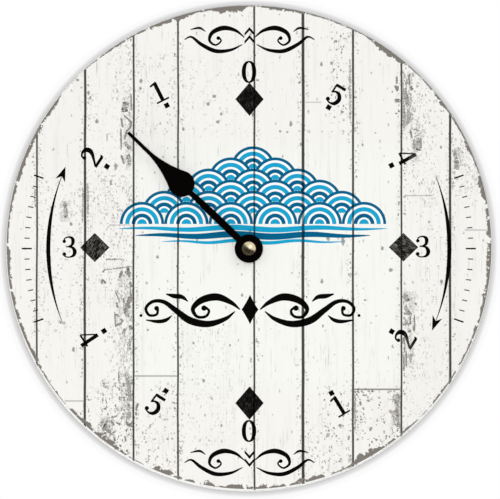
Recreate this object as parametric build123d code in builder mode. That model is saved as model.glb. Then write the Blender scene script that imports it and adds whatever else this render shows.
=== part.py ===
from build123d import *
import os
from math import acos, atan2, cos, hypot, pi, radians, sin, sqrt, tan

# A round wall clock for the tides: one hand turns once in 12 hours 25 minutes.
# Lengths are in millimetres. The dial faces -Y, +X is its right and +Z is up.
# The origin is on the hand's axis, in the plane where the back meets the wall.
# Depths are counted from that plane towards the viewer, who is on the -Y side.

# The dial: a coated board with a printed sheet on its face
dial_diameter = 266.7
board_thickness = 5.0
board_front_round = 0.8
board_back_round = 0.4
board_hole_radius = 4.75
print_thickness = 0.25
print_margin = 0.05

# The movement's case, with its cell bay below and its wheels above
case_width = 56.0
case_top_height = 28.0
case_depth = 16.5
case_wall = 1.2
case_corner = 4.0
chamber_floor_height = 10.7
bay_partition = 1.0
cover_thickness = 1.2
cover_clearance = 0.05
cover_rim_depth = 2.0
cover_rim_wall = 0.8
latch_width = 6.0
latch_thickness = 0.8
latch_setback = 0.6
latch_reach = 0.6
finger_notch_radius = 6.0
post_inset = 4.0
low_post_height = 4.7
case_post_radius = 2.0
cover_post_radius = 1.6
boss_radius = 1.2

# The fixing through the dial
hexagon_sides = 6
bushing_radius = 3.95
bushing_root_width = 11.0
bushing_length = 10.5
thread_pitch = 0.8
thread_depth = 0.35
nut_width = 11.1
nut_thickness = 2.2
nut_chamfer = 0.4
washer_radius = 7.0
washer_thickness = 0.5
fixing_clearance = 0.2
gasket_radius = 11.0
gasket_thickness = 1.0

# The hanger, a steel strip held behind the dial by the same fixing
hanger_thickness = 0.8
hanger_width = 22.0
hanger_top_height = 47.0
hanger_hole_height = 39.5
hanger_hole_radius = 2.5
hanger_low_reach = 12.0
hanger_corner = 7.3

# The plate that carries the wheels, and the levels of the wheels on it
plate_back = 6.5
plate_thickness = 1.0
plate_clearance = 0.1
wheel_thickness = 0.8
first_level_gap = 0.7
level_gap = 0.6
pinion_overrun = 0.3
end_play = 0.15
running_clearance = 0.05
pin_radius = 0.5
pin_seat_depth = 0.6
hub_radius = 0.8

# Teeth: a stub involute form with straight-cut flanks
train_module = 0.3
setting_module = 0.4
pressure_angle = 28.0
addendum_share = 0.8
dedendum_share = 1.05
tooth_backlash = 0.05
wheel_teeth = 48
pinion_teeth = 8
third_pinion_teeth = 10
tide_wheel_teeth = 50
setting_wheel_teeth = 36
setting_pinion_teeth = 18
lightening_count = 4
lightening_reach_share = 0.6
lightening_radius_share = 0.22

# Directions from one arbor to the next, in degrees from the dial's right
third_direction = 150.0
second_direction = 120.0
first_direction = 13.0
rotor_direction = -1.0
knob_direction = 19.0

# The centre arbor and what turns with it
arbor_radius = 1.5
arbor_back_radius = 1.0
arbor_pivot_radius = 0.8
arbor_pivot_tail = 0.1
arbor_collar_radius = 2.4
arbor_collar_thickness = 0.35
arbor_flat_half = 1.1
arbor_thread_length = 2.2
bushing_to_hand = 0.45
spring_radius = 3.2
spring_thickness = 0.2
spring_gap = 0.03

# The hand
hand_length = 91.7
hand_angle = 46.1
hand_thickness = 0.5
hand_boss_radius = 7.75
hand_root_half = 1.45
hand_swell_half = 2.02
hand_swell_reach = 26.0
hand_neck_half = 0.98
bulb_reach = 51.1
bulb_radius = 7.15
nose_end_reach = 74.5
nose_end_half = 1.05
nose_sag = 0.95
hand_tip_half = 0.88
collet_radius = 3.2
collet_thickness = 0.75

# The cap nut over the hand
cap_radius = 3.75
cap_rim = 0.7
cap_shoulder = 0.35
cap_height = 3.4
cap_bulge = 0.28
cap_tip_radius = 0.2

# The setting knob at the back, in a cup of the cover
knob_radius = 6.0
knob_inset = 0.4
knob_thickness = 3.1
knob_clearance = 0.3
knob_shaft_radius = 1.2
knob_flutes = 20
knob_flute_radius = 0.55
knob_grip_width = 1.6
knob_dish_depth = 1.2
knob_dish_radius = 4.6
cup_wall = 0.7

# The cell, a standard AA size, with the room at its ends for the contacts
cell_diameter = 14.5
cell_end_room = 1.55
cell_nub_radius = 2.75
cell_nub_length = 1.0
cell_sleeve = 0.25
cell_sleeve_inset = 0.5
cell_can_wall = 0.3
cell_base_radius = 6.85
cell_base_thickness = 0.3
cell_clearance = 0.3

# The cell's two contacts
contact_thickness = 0.4
contact_width = 9.0
contact_depth = 11.0
contact_strip = 1.8
contact_riser = 2.6
contact_gap = 0.1
contact_pad = 5.0
contact_slot_clearance = 0.1

# The stepping motor
rotor_magnet_radius = 2.0
rotor_magnet_length = 2.0
rotor_tail = 0.3
rotor_boss_height = 1.7
rotor_plate_clearance = 0.5
stator_thickness = 0.8
stator_back = 4.0
stator_air_gap = 0.4
stator_half_width = 10.1
stator_half_bar = 2.7
stator_arm_width = 3.2
stator_notch_radius = 0.5
stator_notch_count = 2
stator_notch_direction = 45.0
coil_gap = 0.3
core_half_length = 10.6
core_width = 2.4
core_thickness = 0.8
bobbin_half_length = 6.0
bobbin_wall = 0.35
bobbin_flange_thickness = 0.6
bobbin_flange_radius = 2.3
winding_radius = 2.15

# Screws into the wheel plate
screw_radius = 0.6
screw_head_radius = 1.1
screw_head_height = 0.7
screw_slot_width = 0.35
screw_slot_depth = 0.3
standoff_radius = 1.4

# The circuit board and what is on it
circuit_side_gap = 5.3
circuit_centre_gap = 5.5
circuit_height = 28.0
circuit_thickness = 0.8
circuit_low_margin = 0.7
circuit_screw_inset = 2.2
chip_radius = 3.2
chip_height = 1.1
chip_round_share = 0.7
chip_reach_share = 0.45
crystal_radius = 1.0
crystal_length = 6.2
crystal_inset = 3.0
crystal_reach_share = 0.72

# Depths from the wall, worked out from the sizes above
wall_inside = case_depth - case_wall
plate_front = plate_back + plate_thickness
hanger_front = case_depth + hanger_thickness
gasket_front = hanger_front + gasket_thickness
board_front = gasket_front + board_thickness
print_front = board_front + print_thickness
washer_front = print_front + washer_thickness
nut_front = washer_front + nut_thickness
bushing_front = case_depth + bushing_length
collet_back = bushing_front + bushing_to_hand
hand_back = collet_back + collet_thickness
hand_front = hand_back + hand_thickness

# Widths of the case, and heights of its wheel chamber and of the cell bay below
case_half = case_width / 2
inner_half = case_half - case_wall
chamber_low = -chamber_floor_height
bay_top = chamber_low - bay_partition
bay_low = bay_top - cell_diameter - 2 * cell_clearance
case_low = bay_low - case_wall
case_height = case_top_height - case_low
cell_length = 2 * (inner_half - cell_end_room)
cell_height = bay_low + cell_clearance + cell_diameter / 2
cell_depth = wall_inside - cell_clearance - cell_diameter / 2


def level(number):
    """Depth of the back of a wheel level, where level 0 is next to the plate."""
    return plate_front + first_level_gap + number * (wheel_thickness + level_gap)


def level_end(number):
    """Depth of the front of a wheel level."""
    return level(number) + wheel_thickness


def pinion_end(number):
    """Depth where a pinion ends that drives the wheel of a level."""
    return level_end(number) + pinion_overrun


def stepped(start, direction, distance):
    """The place at a distance from another one, in a direction in degrees."""
    turn = radians(direction)
    return (start[0] + distance * cos(turn), start[1] + distance * sin(turn))


# Places of the arbors, across and up from the hand's axis
train_distance = (wheel_teeth + pinion_teeth) * train_module / 2
tide_distance = (tide_wheel_teeth + third_pinion_teeth) * train_module / 2
setting_distance = (setting_wheel_teeth + setting_pinion_teeth) * setting_module / 2
centre = (0.0, 0.0)
third_place = stepped(centre, third_direction, tide_distance)
second_place = stepped(third_place, second_direction, train_distance)
first_place = stepped(second_place, first_direction, train_distance)
rotor_place = stepped(first_place, rotor_direction, train_distance)
knob_place = stepped(centre, knob_direction, setting_distance)

# Where each pin's boss on the case's front wall ends, above the piece it holds
pin_stops = [
    (rotor_place, pinion_end(0)),
    (first_place, pinion_end(1)),
    (second_place, pinion_end(2)),
    (third_place, pinion_end(3)),
]
post_reach = case_half - post_inset
post_top = case_top_height - post_inset
post_places = [
    (-post_reach, post_top),
    (post_reach, post_top),
    (-post_reach, chamber_low + low_post_height),
    (post_reach, chamber_low + low_post_height),
]
coil_height = rotor_place[1] + stator_half_bar + bobbin_flange_radius + coil_gap
motor_screw_places = [
    (rotor_place[0] - stator_half_width + stator_arm_width / 2, coil_height),
    (rotor_place[0] + stator_half_width - stator_arm_width / 2, coil_height),
]
circuit_low = chamber_low + circuit_low_margin
circuit_left = circuit_side_gap - inner_half
circuit_right = -circuit_centre_gap
circuit_back = plate_back - circuit_thickness
circuit_screw_places = [
    (circuit_left + circuit_screw_inset, circuit_low + circuit_screw_inset),
    (circuit_right - circuit_screw_inset, circuit_low + circuit_height - circuit_screw_inset),
]
circuit_middle = (circuit_right + circuit_left) / 2


def front(depth):
    """The plane at a depth from the wall, seen by the viewer of the dial."""
    return Plane.XZ.offset(depth)


def hand_plane(depth):
    """The same plane, turned so that its own up direction is along the hand."""
    turn = radians(hand_angle)
    return Plane((0, -depth, 0), x_dir=(cos(turn), 0, sin(turn)), z_dir=(0, -1, 0))


def disc(place, radius, back, end, mode=Mode.ADD):
    """A round piece of a part, between two depths."""
    with BuildSketch(front(back)) as profile:
        with Locations(place):
            Circle(radius)
    extrude(profile.sketch, amount=end - back, mode=mode)


def block(low, high, back, end, mode=Mode.ADD):
    """A rectangular piece between two corners, across and up, and two depths."""
    with BuildSketch(front(back)) as profile:
        with Locations(((low[0] + high[0]) / 2, (low[1] + high[1]) / 2)):
            Rectangle(high[0] - low[0], high[1] - low[1])
    extrude(profile.sketch, amount=end - back, mode=mode)


def case_slab(inset, corner, back, end, mode=Mode.ADD):
    """A slab with the case's outline, drawn in by an inset, between two depths."""
    with BuildSketch(front(back)) as profile:
        with Locations((0, (case_top_height + case_low) / 2)):
            RectangleRounded(case_width - 2 * inset, case_height - 2 * inset, corner)
    extrude(profile.sketch, amount=end - back, mode=mode)


def turned(outline, mode=Mode.ADD):
    """A turned piece on the hand's axis. The outline is radii with depths."""
    with BuildSketch(Plane.XY) as profile:
        with BuildLine():
            Polyline(*[(radius, -depth) for radius, depth in outline], close=True)
        make_face()
    revolve(profile.sketch, axis=Axis.Y, mode=mode)


def involute(angle):
    """The involute function of an angle in radians."""
    return tan(angle) - angle


def gear_points(teeth, module, phase):
    """Corners of a toothed outline. One tooth points in the phase's direction."""
    pitch_radius = teeth * module / 2
    base_radius = pitch_radius * cos(radians(pressure_angle))
    tip_radius = pitch_radius + addendum_share * module
    root_radius = pitch_radius - dedendum_share * module
    half_at_pitch = (pi * module / 2 - tooth_backlash) / (2 * pitch_radius)
    flank_start = max(root_radius, base_radius)
    radii = sorted({root_radius, flank_start, pitch_radius, tip_radius})
    corners = []
    for radius in radii:
        roll = acos(base_radius / max(radius, base_radius))
        half = half_at_pitch + involute(radians(pressure_angle)) - involute(roll)
        corners.append((radius, half))
    side = [(radius, -half) for radius, half in corners]
    side += [(radius, half) for radius, half in reversed(corners)]
    points = []
    for tooth in range(teeth):
        middle = radians(phase) + 2 * pi * tooth / teeth
        points += [(r * cos(middle + a), r * sin(middle + a)) for r, a in side]
    return points


def toothed(place, teeth, module, phase, back, end):
    """A toothed disc of a part, between two depths."""
    points = gear_points(teeth, module, phase)
    with BuildSketch(front(back)) as profile:
        with BuildLine():
            Polyline(*[(x + place[0], y + place[1]) for x, y in points], close=True)
        make_face()
    extrude(profile.sketch, amount=end - back)


def lightened(place, radius, back, end):
    """Round holes that lighten a wheel's web."""
    with BuildSketch(front(back)) as profile:
        with Locations(place):
            with PolarLocations(radius * lightening_reach_share, lightening_count):
                Circle(radius * lightening_radius_share)
    extrude(profile.sketch, amount=end - back, mode=Mode.SUBTRACT)


def latch(side, reach, clearance, mode=Mode.ADD):
    """A bar at the height of the latches, out from the inside of a side wall."""
    near, far = sorted([side * (inner_half - cover_clearance), side * (inner_half + reach)])
    block(
        (near, (post_top - latch_width) / 2 - clearance),
        (far, (post_top + latch_width) / 2 + clearance),
        cover_thickness + latch_setback - clearance,
        cover_thickness + latch_setback + latch_thickness + clearance,
        mode,
    )


def finished(builder, label):
    """Name a part and write it to its file."""
    builder.part.label = label
    export_step(builder.part, "parts/" + label + ".step")


os.makedirs("parts", exist_ok=True)

# Dial board: a round board with a softened edge
with BuildPart() as dial_board:
    disc(centre, dial_diameter / 2, gasket_front, board_front)
    rims = dial_board.edges().filter_by(GeomType.CIRCLE).sort_by(Axis.Y)
    fillet(rims[0], board_front_round)
    fillet(dial_board.edges().filter_by(GeomType.CIRCLE).sort_by(Axis.Y)[-1], board_back_round)
    disc(centre, board_hole_radius, gasket_front, board_front, Mode.SUBTRACT)
finished(dial_board, "dial_board")

# Dial print: the printed sheet on the flat of the board
with BuildPart() as dial_print:
    disc(centre, dial_diameter / 2 - board_front_round - print_margin, board_front, print_front)
    disc(centre, board_hole_radius, board_front, print_front, Mode.SUBTRACT)
finished(dial_print, "dial_print")

# Movement case: front wall, side walls, cell bay, posts and pin bosses
with BuildPart() as movement_case:
    case_slab(0, case_corner, 0, case_depth)
    front_rim = movement_case.faces().sort_by(Axis.Y)[0].edges()
    chamfer(front_rim, case_wall / 2)
    case_slab(case_wall, case_corner - case_wall, 0, wall_inside, Mode.SUBTRACT)
    block((-inner_half, bay_top), (inner_half, chamber_low), 0, wall_inside)
    for side in (-1, 1):
        slot_edges = sorted([side * inner_half, side * (inner_half - contact_thickness)])
        block(
            (slot_edges[0] - contact_slot_clearance, bay_top),
            (slot_edges[1] + contact_slot_clearance, chamber_low),
            plate_back - contact_riser - contact_slot_clearance,
            plate_back + contact_slot_clearance,
            Mode.SUBTRACT,
        )
        latch(side, case_wall, cover_clearance, Mode.SUBTRACT)
    with BuildSketch(Plane.XY.offset(case_low)):
        Circle(finger_notch_radius)
    extrude(amount=case_wall, mode=Mode.SUBTRACT)
    for post_place in post_places:
        disc(post_place, case_post_radius, plate_front, wall_inside)
    for pin_place, pin_stop in pin_stops:
        disc(pin_place, boss_radius, pin_stop + end_play, wall_inside)
        disc(pin_place, pin_radius, pin_stop, wall_inside + pin_seat_depth, Mode.SUBTRACT)
    disc(
        knob_place,
        knob_shaft_radius + running_clearance,
        wall_inside,
        wall_inside + pin_seat_depth,
        Mode.SUBTRACT,
    )
    with BuildSketch(front(wall_inside)):
        RegularPolygon(bushing_root_width / 2, hexagon_sides, major_radius=False)
    extrude(amount=case_wall, mode=Mode.SUBTRACT)
finished(movement_case, "movement_case")

# Rear cover: a plate over the wheel chamber with a rim, posts and the knob's cup
with BuildPart() as rear_cover:
    cover_inset = case_wall + cover_clearance
    case_slab(cover_inset, case_corner - case_wall, 0, cover_thickness + cover_rim_depth)
    case_slab(
        cover_inset + cover_rim_wall,
        case_corner - case_wall - cover_rim_wall,
        cover_thickness,
        cover_thickness + cover_rim_depth,
        Mode.SUBTRACT,
    )
    block(
        (-case_half, case_low),
        (case_half, chamber_low + cover_clearance),
        0,
        cover_thickness,
        Mode.SUBTRACT,
    )
    block(
        (-case_half, case_low),
        (case_half, chamber_low + low_post_height),
        cover_thickness,
        cover_thickness + cover_rim_depth,
        Mode.SUBTRACT,
    )
    for side in (-1, 1):
        latch(side, latch_reach, 0)
    for post_place in post_places:
        disc(post_place, cover_post_radius, cover_thickness, plate_back)
    disc(rotor_place, boss_radius, cover_thickness, cover_thickness + rotor_boss_height)
    disc(
        rotor_place,
        pin_radius,
        cover_thickness,
        cover_thickness + rotor_boss_height,
        Mode.SUBTRACT,
    )
    cup_back = knob_inset + knob_thickness + end_play
    disc(knob_place, knob_radius + knob_clearance + cup_wall, cover_thickness, cup_back + cup_wall)
    disc(knob_place, knob_radius + knob_clearance, 0, cup_back, Mode.SUBTRACT)
    disc(
        knob_place,
        knob_shaft_radius + running_clearance,
        cup_back,
        cup_back + cup_wall,
        Mode.SUBTRACT,
    )
finished(rear_cover, "rear_cover")

# Wheel plate: closes the front chamber and carries the wheels' pins
with BuildPart() as train_plate:
    case_slab(case_wall + plate_clearance, case_corner - case_wall, plate_back, plate_front)
    block(
        (-case_half, case_low),
        (case_half, chamber_low + plate_clearance),
        plate_back,
        plate_front,
        Mode.SUBTRACT,
    )
    for screw_place in motor_screw_places:
        disc(screw_place, standoff_radius, stator_back + stator_thickness, plate_back)
    for screw_place in motor_screw_places:
        disc(screw_place, screw_radius, stator_back, plate_front, Mode.SUBTRACT)
    for screw_place in circuit_screw_places:
        disc(screw_place, screw_radius, plate_back, plate_front, Mode.SUBTRACT)
    for pin_place, pin_stop in pin_stops[1:]:
        disc(pin_place, pin_radius, plate_back, plate_front, Mode.SUBTRACT)
    disc(rotor_place, hub_radius + rotor_plate_clearance, plate_back, plate_front, Mode.SUBTRACT)
    disc(
        centre,
        arbor_pivot_radius + running_clearance,
        plate_back,
        plate_front,
        Mode.SUBTRACT,
    )
    disc(
        knob_place,
        knob_shaft_radius + running_clearance,
        plate_back,
        plate_front,
        Mode.SUBTRACT,
    )
finished(train_plate, "train_plate")

# Pins: four steel pins on which the rotor and the wheels turn
with BuildPart() as train_pins:
    disc(
        rotor_place,
        pin_radius,
        cover_thickness + rotor_tail,
        wall_inside + pin_seat_depth,
    )
    for pin_place, pin_stop in pin_stops[1:]:
        disc(pin_place, pin_radius, plate_back, wall_inside + pin_seat_depth)
finished(train_pins, "train_pins")

# Bushing: hexagonal root in the case's wall, threaded barrel, bore for the arbor
with BuildPart() as bushing:
    with BuildSketch(front(wall_inside)):
        RegularPolygon(bushing_root_width / 2, hexagon_sides, major_radius=False)
    extrude(amount=case_wall)
    thread_start = hanger_front + gasket_thickness
    thread_turns = int((bushing_front - thread_start) / thread_pitch)
    barrel = [(0, case_depth), (bushing_radius, case_depth), (bushing_radius, thread_start)]
    for turn in range(thread_turns):
        groove = thread_start + turn * thread_pitch
        barrel.append((bushing_radius - thread_depth, groove + thread_pitch / 2))
        barrel.append((bushing_radius, groove + thread_pitch))
    barrel.append((bushing_radius - thread_depth, bushing_front))
    barrel.append((0, bushing_front))
    turned(barrel)
    disc(
        centre,
        arbor_radius + running_clearance,
        wall_inside,
        bushing_front,
        Mode.SUBTRACT,
    )
finished(bushing, "bushing")

# Nut on the bushing
with BuildPart() as bushing_nut:
    with BuildSketch(front(washer_front)):
        RegularPolygon(nut_width / 2, hexagon_sides, major_radius=False)
    extrude(amount=nut_thickness)
    nut_corner = nut_width / sqrt(3)
    turned(
        [
            (nut_corner - nut_chamfer, nut_front),
            (nut_corner + nut_chamfer, nut_front - nut_chamfer),
            (nut_corner + nut_chamfer, nut_front),
        ],
        Mode.SUBTRACT,
    )
    disc(centre, bushing_radius, washer_front, nut_front, Mode.SUBTRACT)
finished(bushing_nut, "bushing_nut")

# Washer under the nut
with BuildPart() as nut_washer:
    disc(centre, washer_radius, print_front, washer_front)
    disc(centre, bushing_radius + fixing_clearance, print_front, washer_front, Mode.SUBTRACT)
finished(nut_washer, "nut_washer")

# Rubber gasket between hanger and board
with BuildPart() as gasket:
    disc(centre, gasket_radius, hanger_front, gasket_front)
    disc(centre, bushing_radius + fixing_clearance, hanger_front, gasket_front, Mode.SUBTRACT)
finished(gasket, "gasket")

# Hanger plate: a steel strip with a hole for the wall hook above the case
with BuildPart() as hanger_plate:
    hanger_middle = (hanger_top_height - hanger_low_reach) / 2
    with BuildSketch(front(case_depth)):
        with Locations((0, hanger_middle)):
            RectangleRounded(
                hanger_width, hanger_top_height + hanger_low_reach, hanger_corner
            )
        Circle(bushing_radius + fixing_clearance, mode=Mode.SUBTRACT)
        with Locations((0, hanger_hole_height)):
            Circle(hanger_hole_radius, mode=Mode.SUBTRACT)
    extrude(amount=hanger_thickness)
finished(hanger_plate, "hanger_plate")


def train_wheel(place, number, wheel_phase, drive_teeth, pinion_phase):
    """A wheel with its own pinion in front, on a pin, in the open part block."""
    disc(place, hub_radius, plate_front + end_play, level(number))
    toothed(place, wheel_teeth, train_module, wheel_phase, level(number), level_end(number))
    lightened(place, wheel_teeth * train_module / 2, level(number), level_end(number))
    toothed(
        place,
        drive_teeth,
        train_module,
        pinion_phase,
        level_end(number),
        pinion_end(number + 1),
    )
    disc(
        place,
        pin_radius + running_clearance,
        plate_front,
        pinion_end(number + 1),
        Mode.SUBTRACT,
    )


def facing(direction, teeth):
    """Phase of a gear whose tooth gap faces back along a direction."""
    return direction + 180 + 180 / teeth


# Rotor: hub with its pinion, and the magnet on its tail
rotor_back = cover_thickness + rotor_boss_height + end_play
with BuildPart() as rotor_hub:
    disc(rotor_place, hub_radius, rotor_back, level(0) - pinion_overrun)
    toothed(
        rotor_place,
        pinion_teeth,
        train_module,
        rotor_direction + 180,
        level(0) - pinion_overrun,
        pinion_end(0),
    )
    disc(
        rotor_place,
        pin_radius + running_clearance,
        rotor_back,
        pinion_end(0),
        Mode.SUBTRACT,
    )
finished(rotor_hub, "rotor_hub")

magnet_back = stator_back + stator_thickness / 2 - rotor_magnet_length / 2
with BuildPart() as rotor_magnet:
    disc(rotor_place, rotor_magnet_radius, magnet_back, magnet_back + rotor_magnet_length)
    disc(
        rotor_place,
        hub_radius,
        magnet_back,
        magnet_back + rotor_magnet_length,
        Mode.SUBTRACT,
    )
finished(rotor_magnet, "rotor_magnet")

# First, second and third wheels, each in mesh with the pinion before it
with BuildPart() as first_wheel:
    train_wheel(
        first_place,
        0,
        facing(rotor_direction + 180, wheel_teeth),
        pinion_teeth,
        first_direction + 180,
    )
finished(first_wheel, "first_wheel")

with BuildPart() as second_wheel:
    train_wheel(
        second_place,
        1,
        facing(first_direction + 180, wheel_teeth),
        pinion_teeth,
        second_direction + 180,
    )
finished(second_wheel, "second_wheel")

with BuildPart() as third_wheel:
    train_wheel(
        third_place,
        2,
        facing(second_direction + 180, wheel_teeth),
        third_pinion_teeth,
        third_direction + 180,
    )
finished(third_wheel, "third_wheel")

# Tide wheel: turns once in a tide and grips the arbor through the spring
with BuildPart() as tide_wheel:
    toothed(
        centre,
        tide_wheel_teeth,
        train_module,
        facing(third_direction + 180, tide_wheel_teeth),
        level(3),
        level_end(3),
    )
    lightened(centre, tide_wheel_teeth * train_module / 2, level(3), level_end(3))
    disc(centre, arbor_radius + running_clearance, level(3), level_end(3), Mode.SUBTRACT)
finished(tide_wheel, "tide_wheel")


def flatted_hole(back, end):
    """The arbor's two-flat section as a hole, turned with the hand."""
    with BuildSketch(hand_plane(back)) as profile:
        Circle(arbor_radius)
        Rectangle(2 * arbor_flat_half, 2 * arbor_radius, mode=Mode.INTERSECT)
    extrude(profile.sketch, amount=end - back, mode=Mode.SUBTRACT)


# Centre arbor: rear pivot, collar under the tide wheel, shaft, flats and thread
with BuildPart() as centre_arbor:
    collar_back = level(3) - spring_gap - arbor_collar_thickness
    turned(
        [
            (0, plate_back - arbor_pivot_tail),
            (arbor_pivot_radius, plate_back - arbor_pivot_tail),
            (arbor_pivot_radius, plate_front + end_play),
            (arbor_back_radius, plate_front + end_play),
            (arbor_back_radius, collar_back),
            (arbor_collar_radius, collar_back),
            (arbor_collar_radius, level(3) - spring_gap),
            (arbor_radius, level(3) - spring_gap),
            (arbor_radius, collet_back),
            (0, collet_back),
        ]
    )
    with BuildSketch(hand_plane(collet_back)):
        Circle(arbor_radius)
        Rectangle(2 * arbor_flat_half, 2 * arbor_radius, mode=Mode.INTERSECT)
    extrude(amount=hand_front - collet_back)
    disc(centre, arbor_flat_half, hand_front, hand_front + arbor_thread_length)
finished(centre_arbor, "centre_arbor")

# Setting wheel, fast on the arbor
with BuildPart() as setting_wheel:
    toothed(
        centre,
        setting_wheel_teeth,
        setting_module,
        knob_direction,
        level(4),
        level_end(4),
    )
    lightened(centre, setting_wheel_teeth * setting_module / 2, level(4), level_end(4))
    disc(centre, arbor_radius, level(4), level_end(4), Mode.SUBTRACT)
finished(setting_wheel, "setting_wheel")

# Clutch spring: a dished washer between the setting wheel and the tide wheel
with BuildPart() as clutch_spring:
    spring_low = level_end(3) + spring_gap
    spring_high = level(4) - spring_gap
    turned(
        [
            (arbor_radius, spring_high - spring_thickness),
            (arbor_radius, spring_high),
            (spring_radius, spring_low + spring_thickness),
            (spring_radius, spring_low),
        ]
    )
finished(clutch_spring, "clutch_spring")

# Setting pinion, pressed on the knob's shaft
with BuildPart() as setting_pinion:
    toothed(
        knob_place,
        setting_pinion_teeth,
        setting_module,
        facing(knob_direction, setting_pinion_teeth),
        level(4) - end_play,
        level_end(4) + end_play,
    )
    disc(
        knob_place,
        knob_shaft_radius,
        level(4) - end_play,
        level_end(4) + end_play,
        Mode.SUBTRACT,
    )
finished(setting_pinion, "setting_pinion")

# Setting knob: a fluted disc with a finger dish, and its long shaft
with BuildPart() as setting_knob:
    knob_end = knob_inset + knob_thickness
    disc(knob_place, knob_radius, knob_inset, knob_end)
    with BuildSketch(front(knob_inset)):
        with Locations(knob_place):
            with PolarLocations(knob_radius + knob_flute_radius / 2, knob_flutes):
                Circle(knob_flute_radius)
    extrude(amount=knob_thickness, mode=Mode.SUBTRACT)
    with BuildSketch(front(knob_inset)):
        with Locations(knob_place):
            Circle(knob_dish_radius)
            Rectangle(knob_grip_width, 2 * knob_dish_radius, mode=Mode.SUBTRACT)
    extrude(amount=knob_dish_depth, mode=Mode.SUBTRACT)
    disc(knob_place, knob_shaft_radius, knob_end, wall_inside + pin_seat_depth - end_play)
finished(setting_knob, "setting_knob")

# Tide hand: boss, swelling shaft, round bulb with a hollow-sided nose, thin tip
with BuildPart() as tide_hand:
    with BuildSketch(hand_plane(hand_back)) as hand_outline:
        Circle(hand_boss_radius)
        with Locations((0, bulb_reach)):
            Circle(bulb_radius)
        with BuildLine():
            shaft_right = ThreePointArc(
                (hand_root_half, 0),
                (hand_swell_half, hand_swell_reach),
                (hand_neck_half, bulb_reach),
            )
            mirror(shaft_right, about=Plane.YZ)
            Line((-hand_root_half, 0), (hand_root_half, 0))
            Line((-hand_neck_half, bulb_reach), (hand_neck_half, bulb_reach))
        make_face()
        nose_lean = atan2(bulb_radius - nose_end_half, nose_end_reach - bulb_reach)
        nose_turn = nose_lean + 2 * atan2(
            2 * nose_sag, hypot(bulb_radius - nose_end_half, nose_end_reach - bulb_reach)
        )
        nose_start = (bulb_radius * cos(nose_turn), bulb_reach + bulb_radius * sin(nose_turn))
        nose_middle = (
            (nose_start[0] + nose_end_half) / 2 - nose_sag * cos(nose_lean),
            (nose_start[1] + nose_end_reach) / 2 - nose_sag * sin(nose_lean),
        )
        with BuildLine():
            nose_right = ThreePointArc(nose_start, nose_middle, (nose_end_half, nose_end_reach))
            tip_right = Line((nose_end_half, nose_end_reach), (hand_tip_half, hand_length))
            mirror([nose_right, tip_right], about=Plane.YZ)
            Line((-hand_tip_half, hand_length), (hand_tip_half, hand_length))
            Line((-nose_start[0], nose_start[1]), nose_start)
        make_face()
    extrude(amount=hand_thickness)
    flatted_hole(hand_back, hand_front)
finished(tide_hand, "tide_hand")

# Collet behind the hand's boss
with BuildPart() as hand_collet:
    disc(centre, collet_radius, collet_back, hand_back)
    flatted_hole(collet_back, hand_back)
finished(hand_collet, "hand_collet")

# Cap nut: a turned cap with a short rim and a bulging cone
with BuildPart() as cap_nut:
    cap_tip = hand_front + cap_height
    shoulder_depth = hand_front + cap_rim + cap_shoulder
    shoulder_radius = cap_radius - cap_shoulder
    cone_slant = atan2(shoulder_radius - cap_tip_radius, cap_tip - shoulder_depth)
    cone_middle = (
        (shoulder_radius + cap_tip_radius) / 2 + cap_bulge * cos(cone_slant),
        -(shoulder_depth + cap_tip) / 2 - cap_bulge * sin(cone_slant),
    )
    with BuildSketch(Plane.XY):
        with BuildLine():
            Polyline(
                (cap_tip_radius, -cap_tip),
                (0, -cap_tip),
                (0, -hand_front - arbor_thread_length),
                (arbor_flat_half, -hand_front - arbor_thread_length),
                (arbor_flat_half, -hand_front),
                (cap_radius, -hand_front),
                (cap_radius, -hand_front - cap_rim),
                (shoulder_radius, -shoulder_depth),
            )
            ThreePointArc(
                (shoulder_radius, -shoulder_depth), cone_middle, (cap_tip_radius, -cap_tip)
            )
        make_face()
    revolve(axis=Axis.Y)
finished(cap_nut, "cap_nut")


def lying(place, radius, start, end, mode=Mode.ADD):
    """A round bar along the dial's width. The place is its height and depth."""
    with BuildSketch(Plane.YZ.offset(start)) as profile:
        with Locations((-place[1], place[0])):
            Circle(radius)
    extrude(profile.sketch, amount=end - start, mode=mode)


# The cell: steel can with its nub, filling, plastic sleeve and base plate
cell_place = (cell_height, cell_depth)
cell_left = -cell_length / 2
cell_right = cell_length / 2
can_radius = cell_diameter / 2 - cell_sleeve
can_left = cell_left + cell_base_thickness
can_right = cell_right - cell_nub_length
with BuildPart() as battery_can:
    lying(cell_place, can_radius, can_left, can_right)
    lying(cell_place, cell_nub_radius, can_right, cell_right)
    lying(
        cell_place,
        can_radius - cell_can_wall,
        can_left,
        can_right - cell_can_wall,
        Mode.SUBTRACT,
    )
finished(battery_can, "battery_can")

with BuildPart() as battery_core:
    lying(cell_place, can_radius - cell_can_wall, can_left, can_right - cell_can_wall)
finished(battery_core, "battery_core")

with BuildPart() as battery_sleeve:
    sleeve_left = can_left + cell_sleeve_inset
    sleeve_right = can_right - cell_sleeve_inset
    lying(cell_place, cell_diameter / 2, sleeve_left, sleeve_right)
    lying(cell_place, can_radius, sleeve_left, sleeve_right, Mode.SUBTRACT)
finished(battery_sleeve, "battery_sleeve")

with BuildPart() as battery_base:
    lying(cell_place, cell_base_radius, cell_left, can_left)
finished(battery_base, "battery_base")


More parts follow.
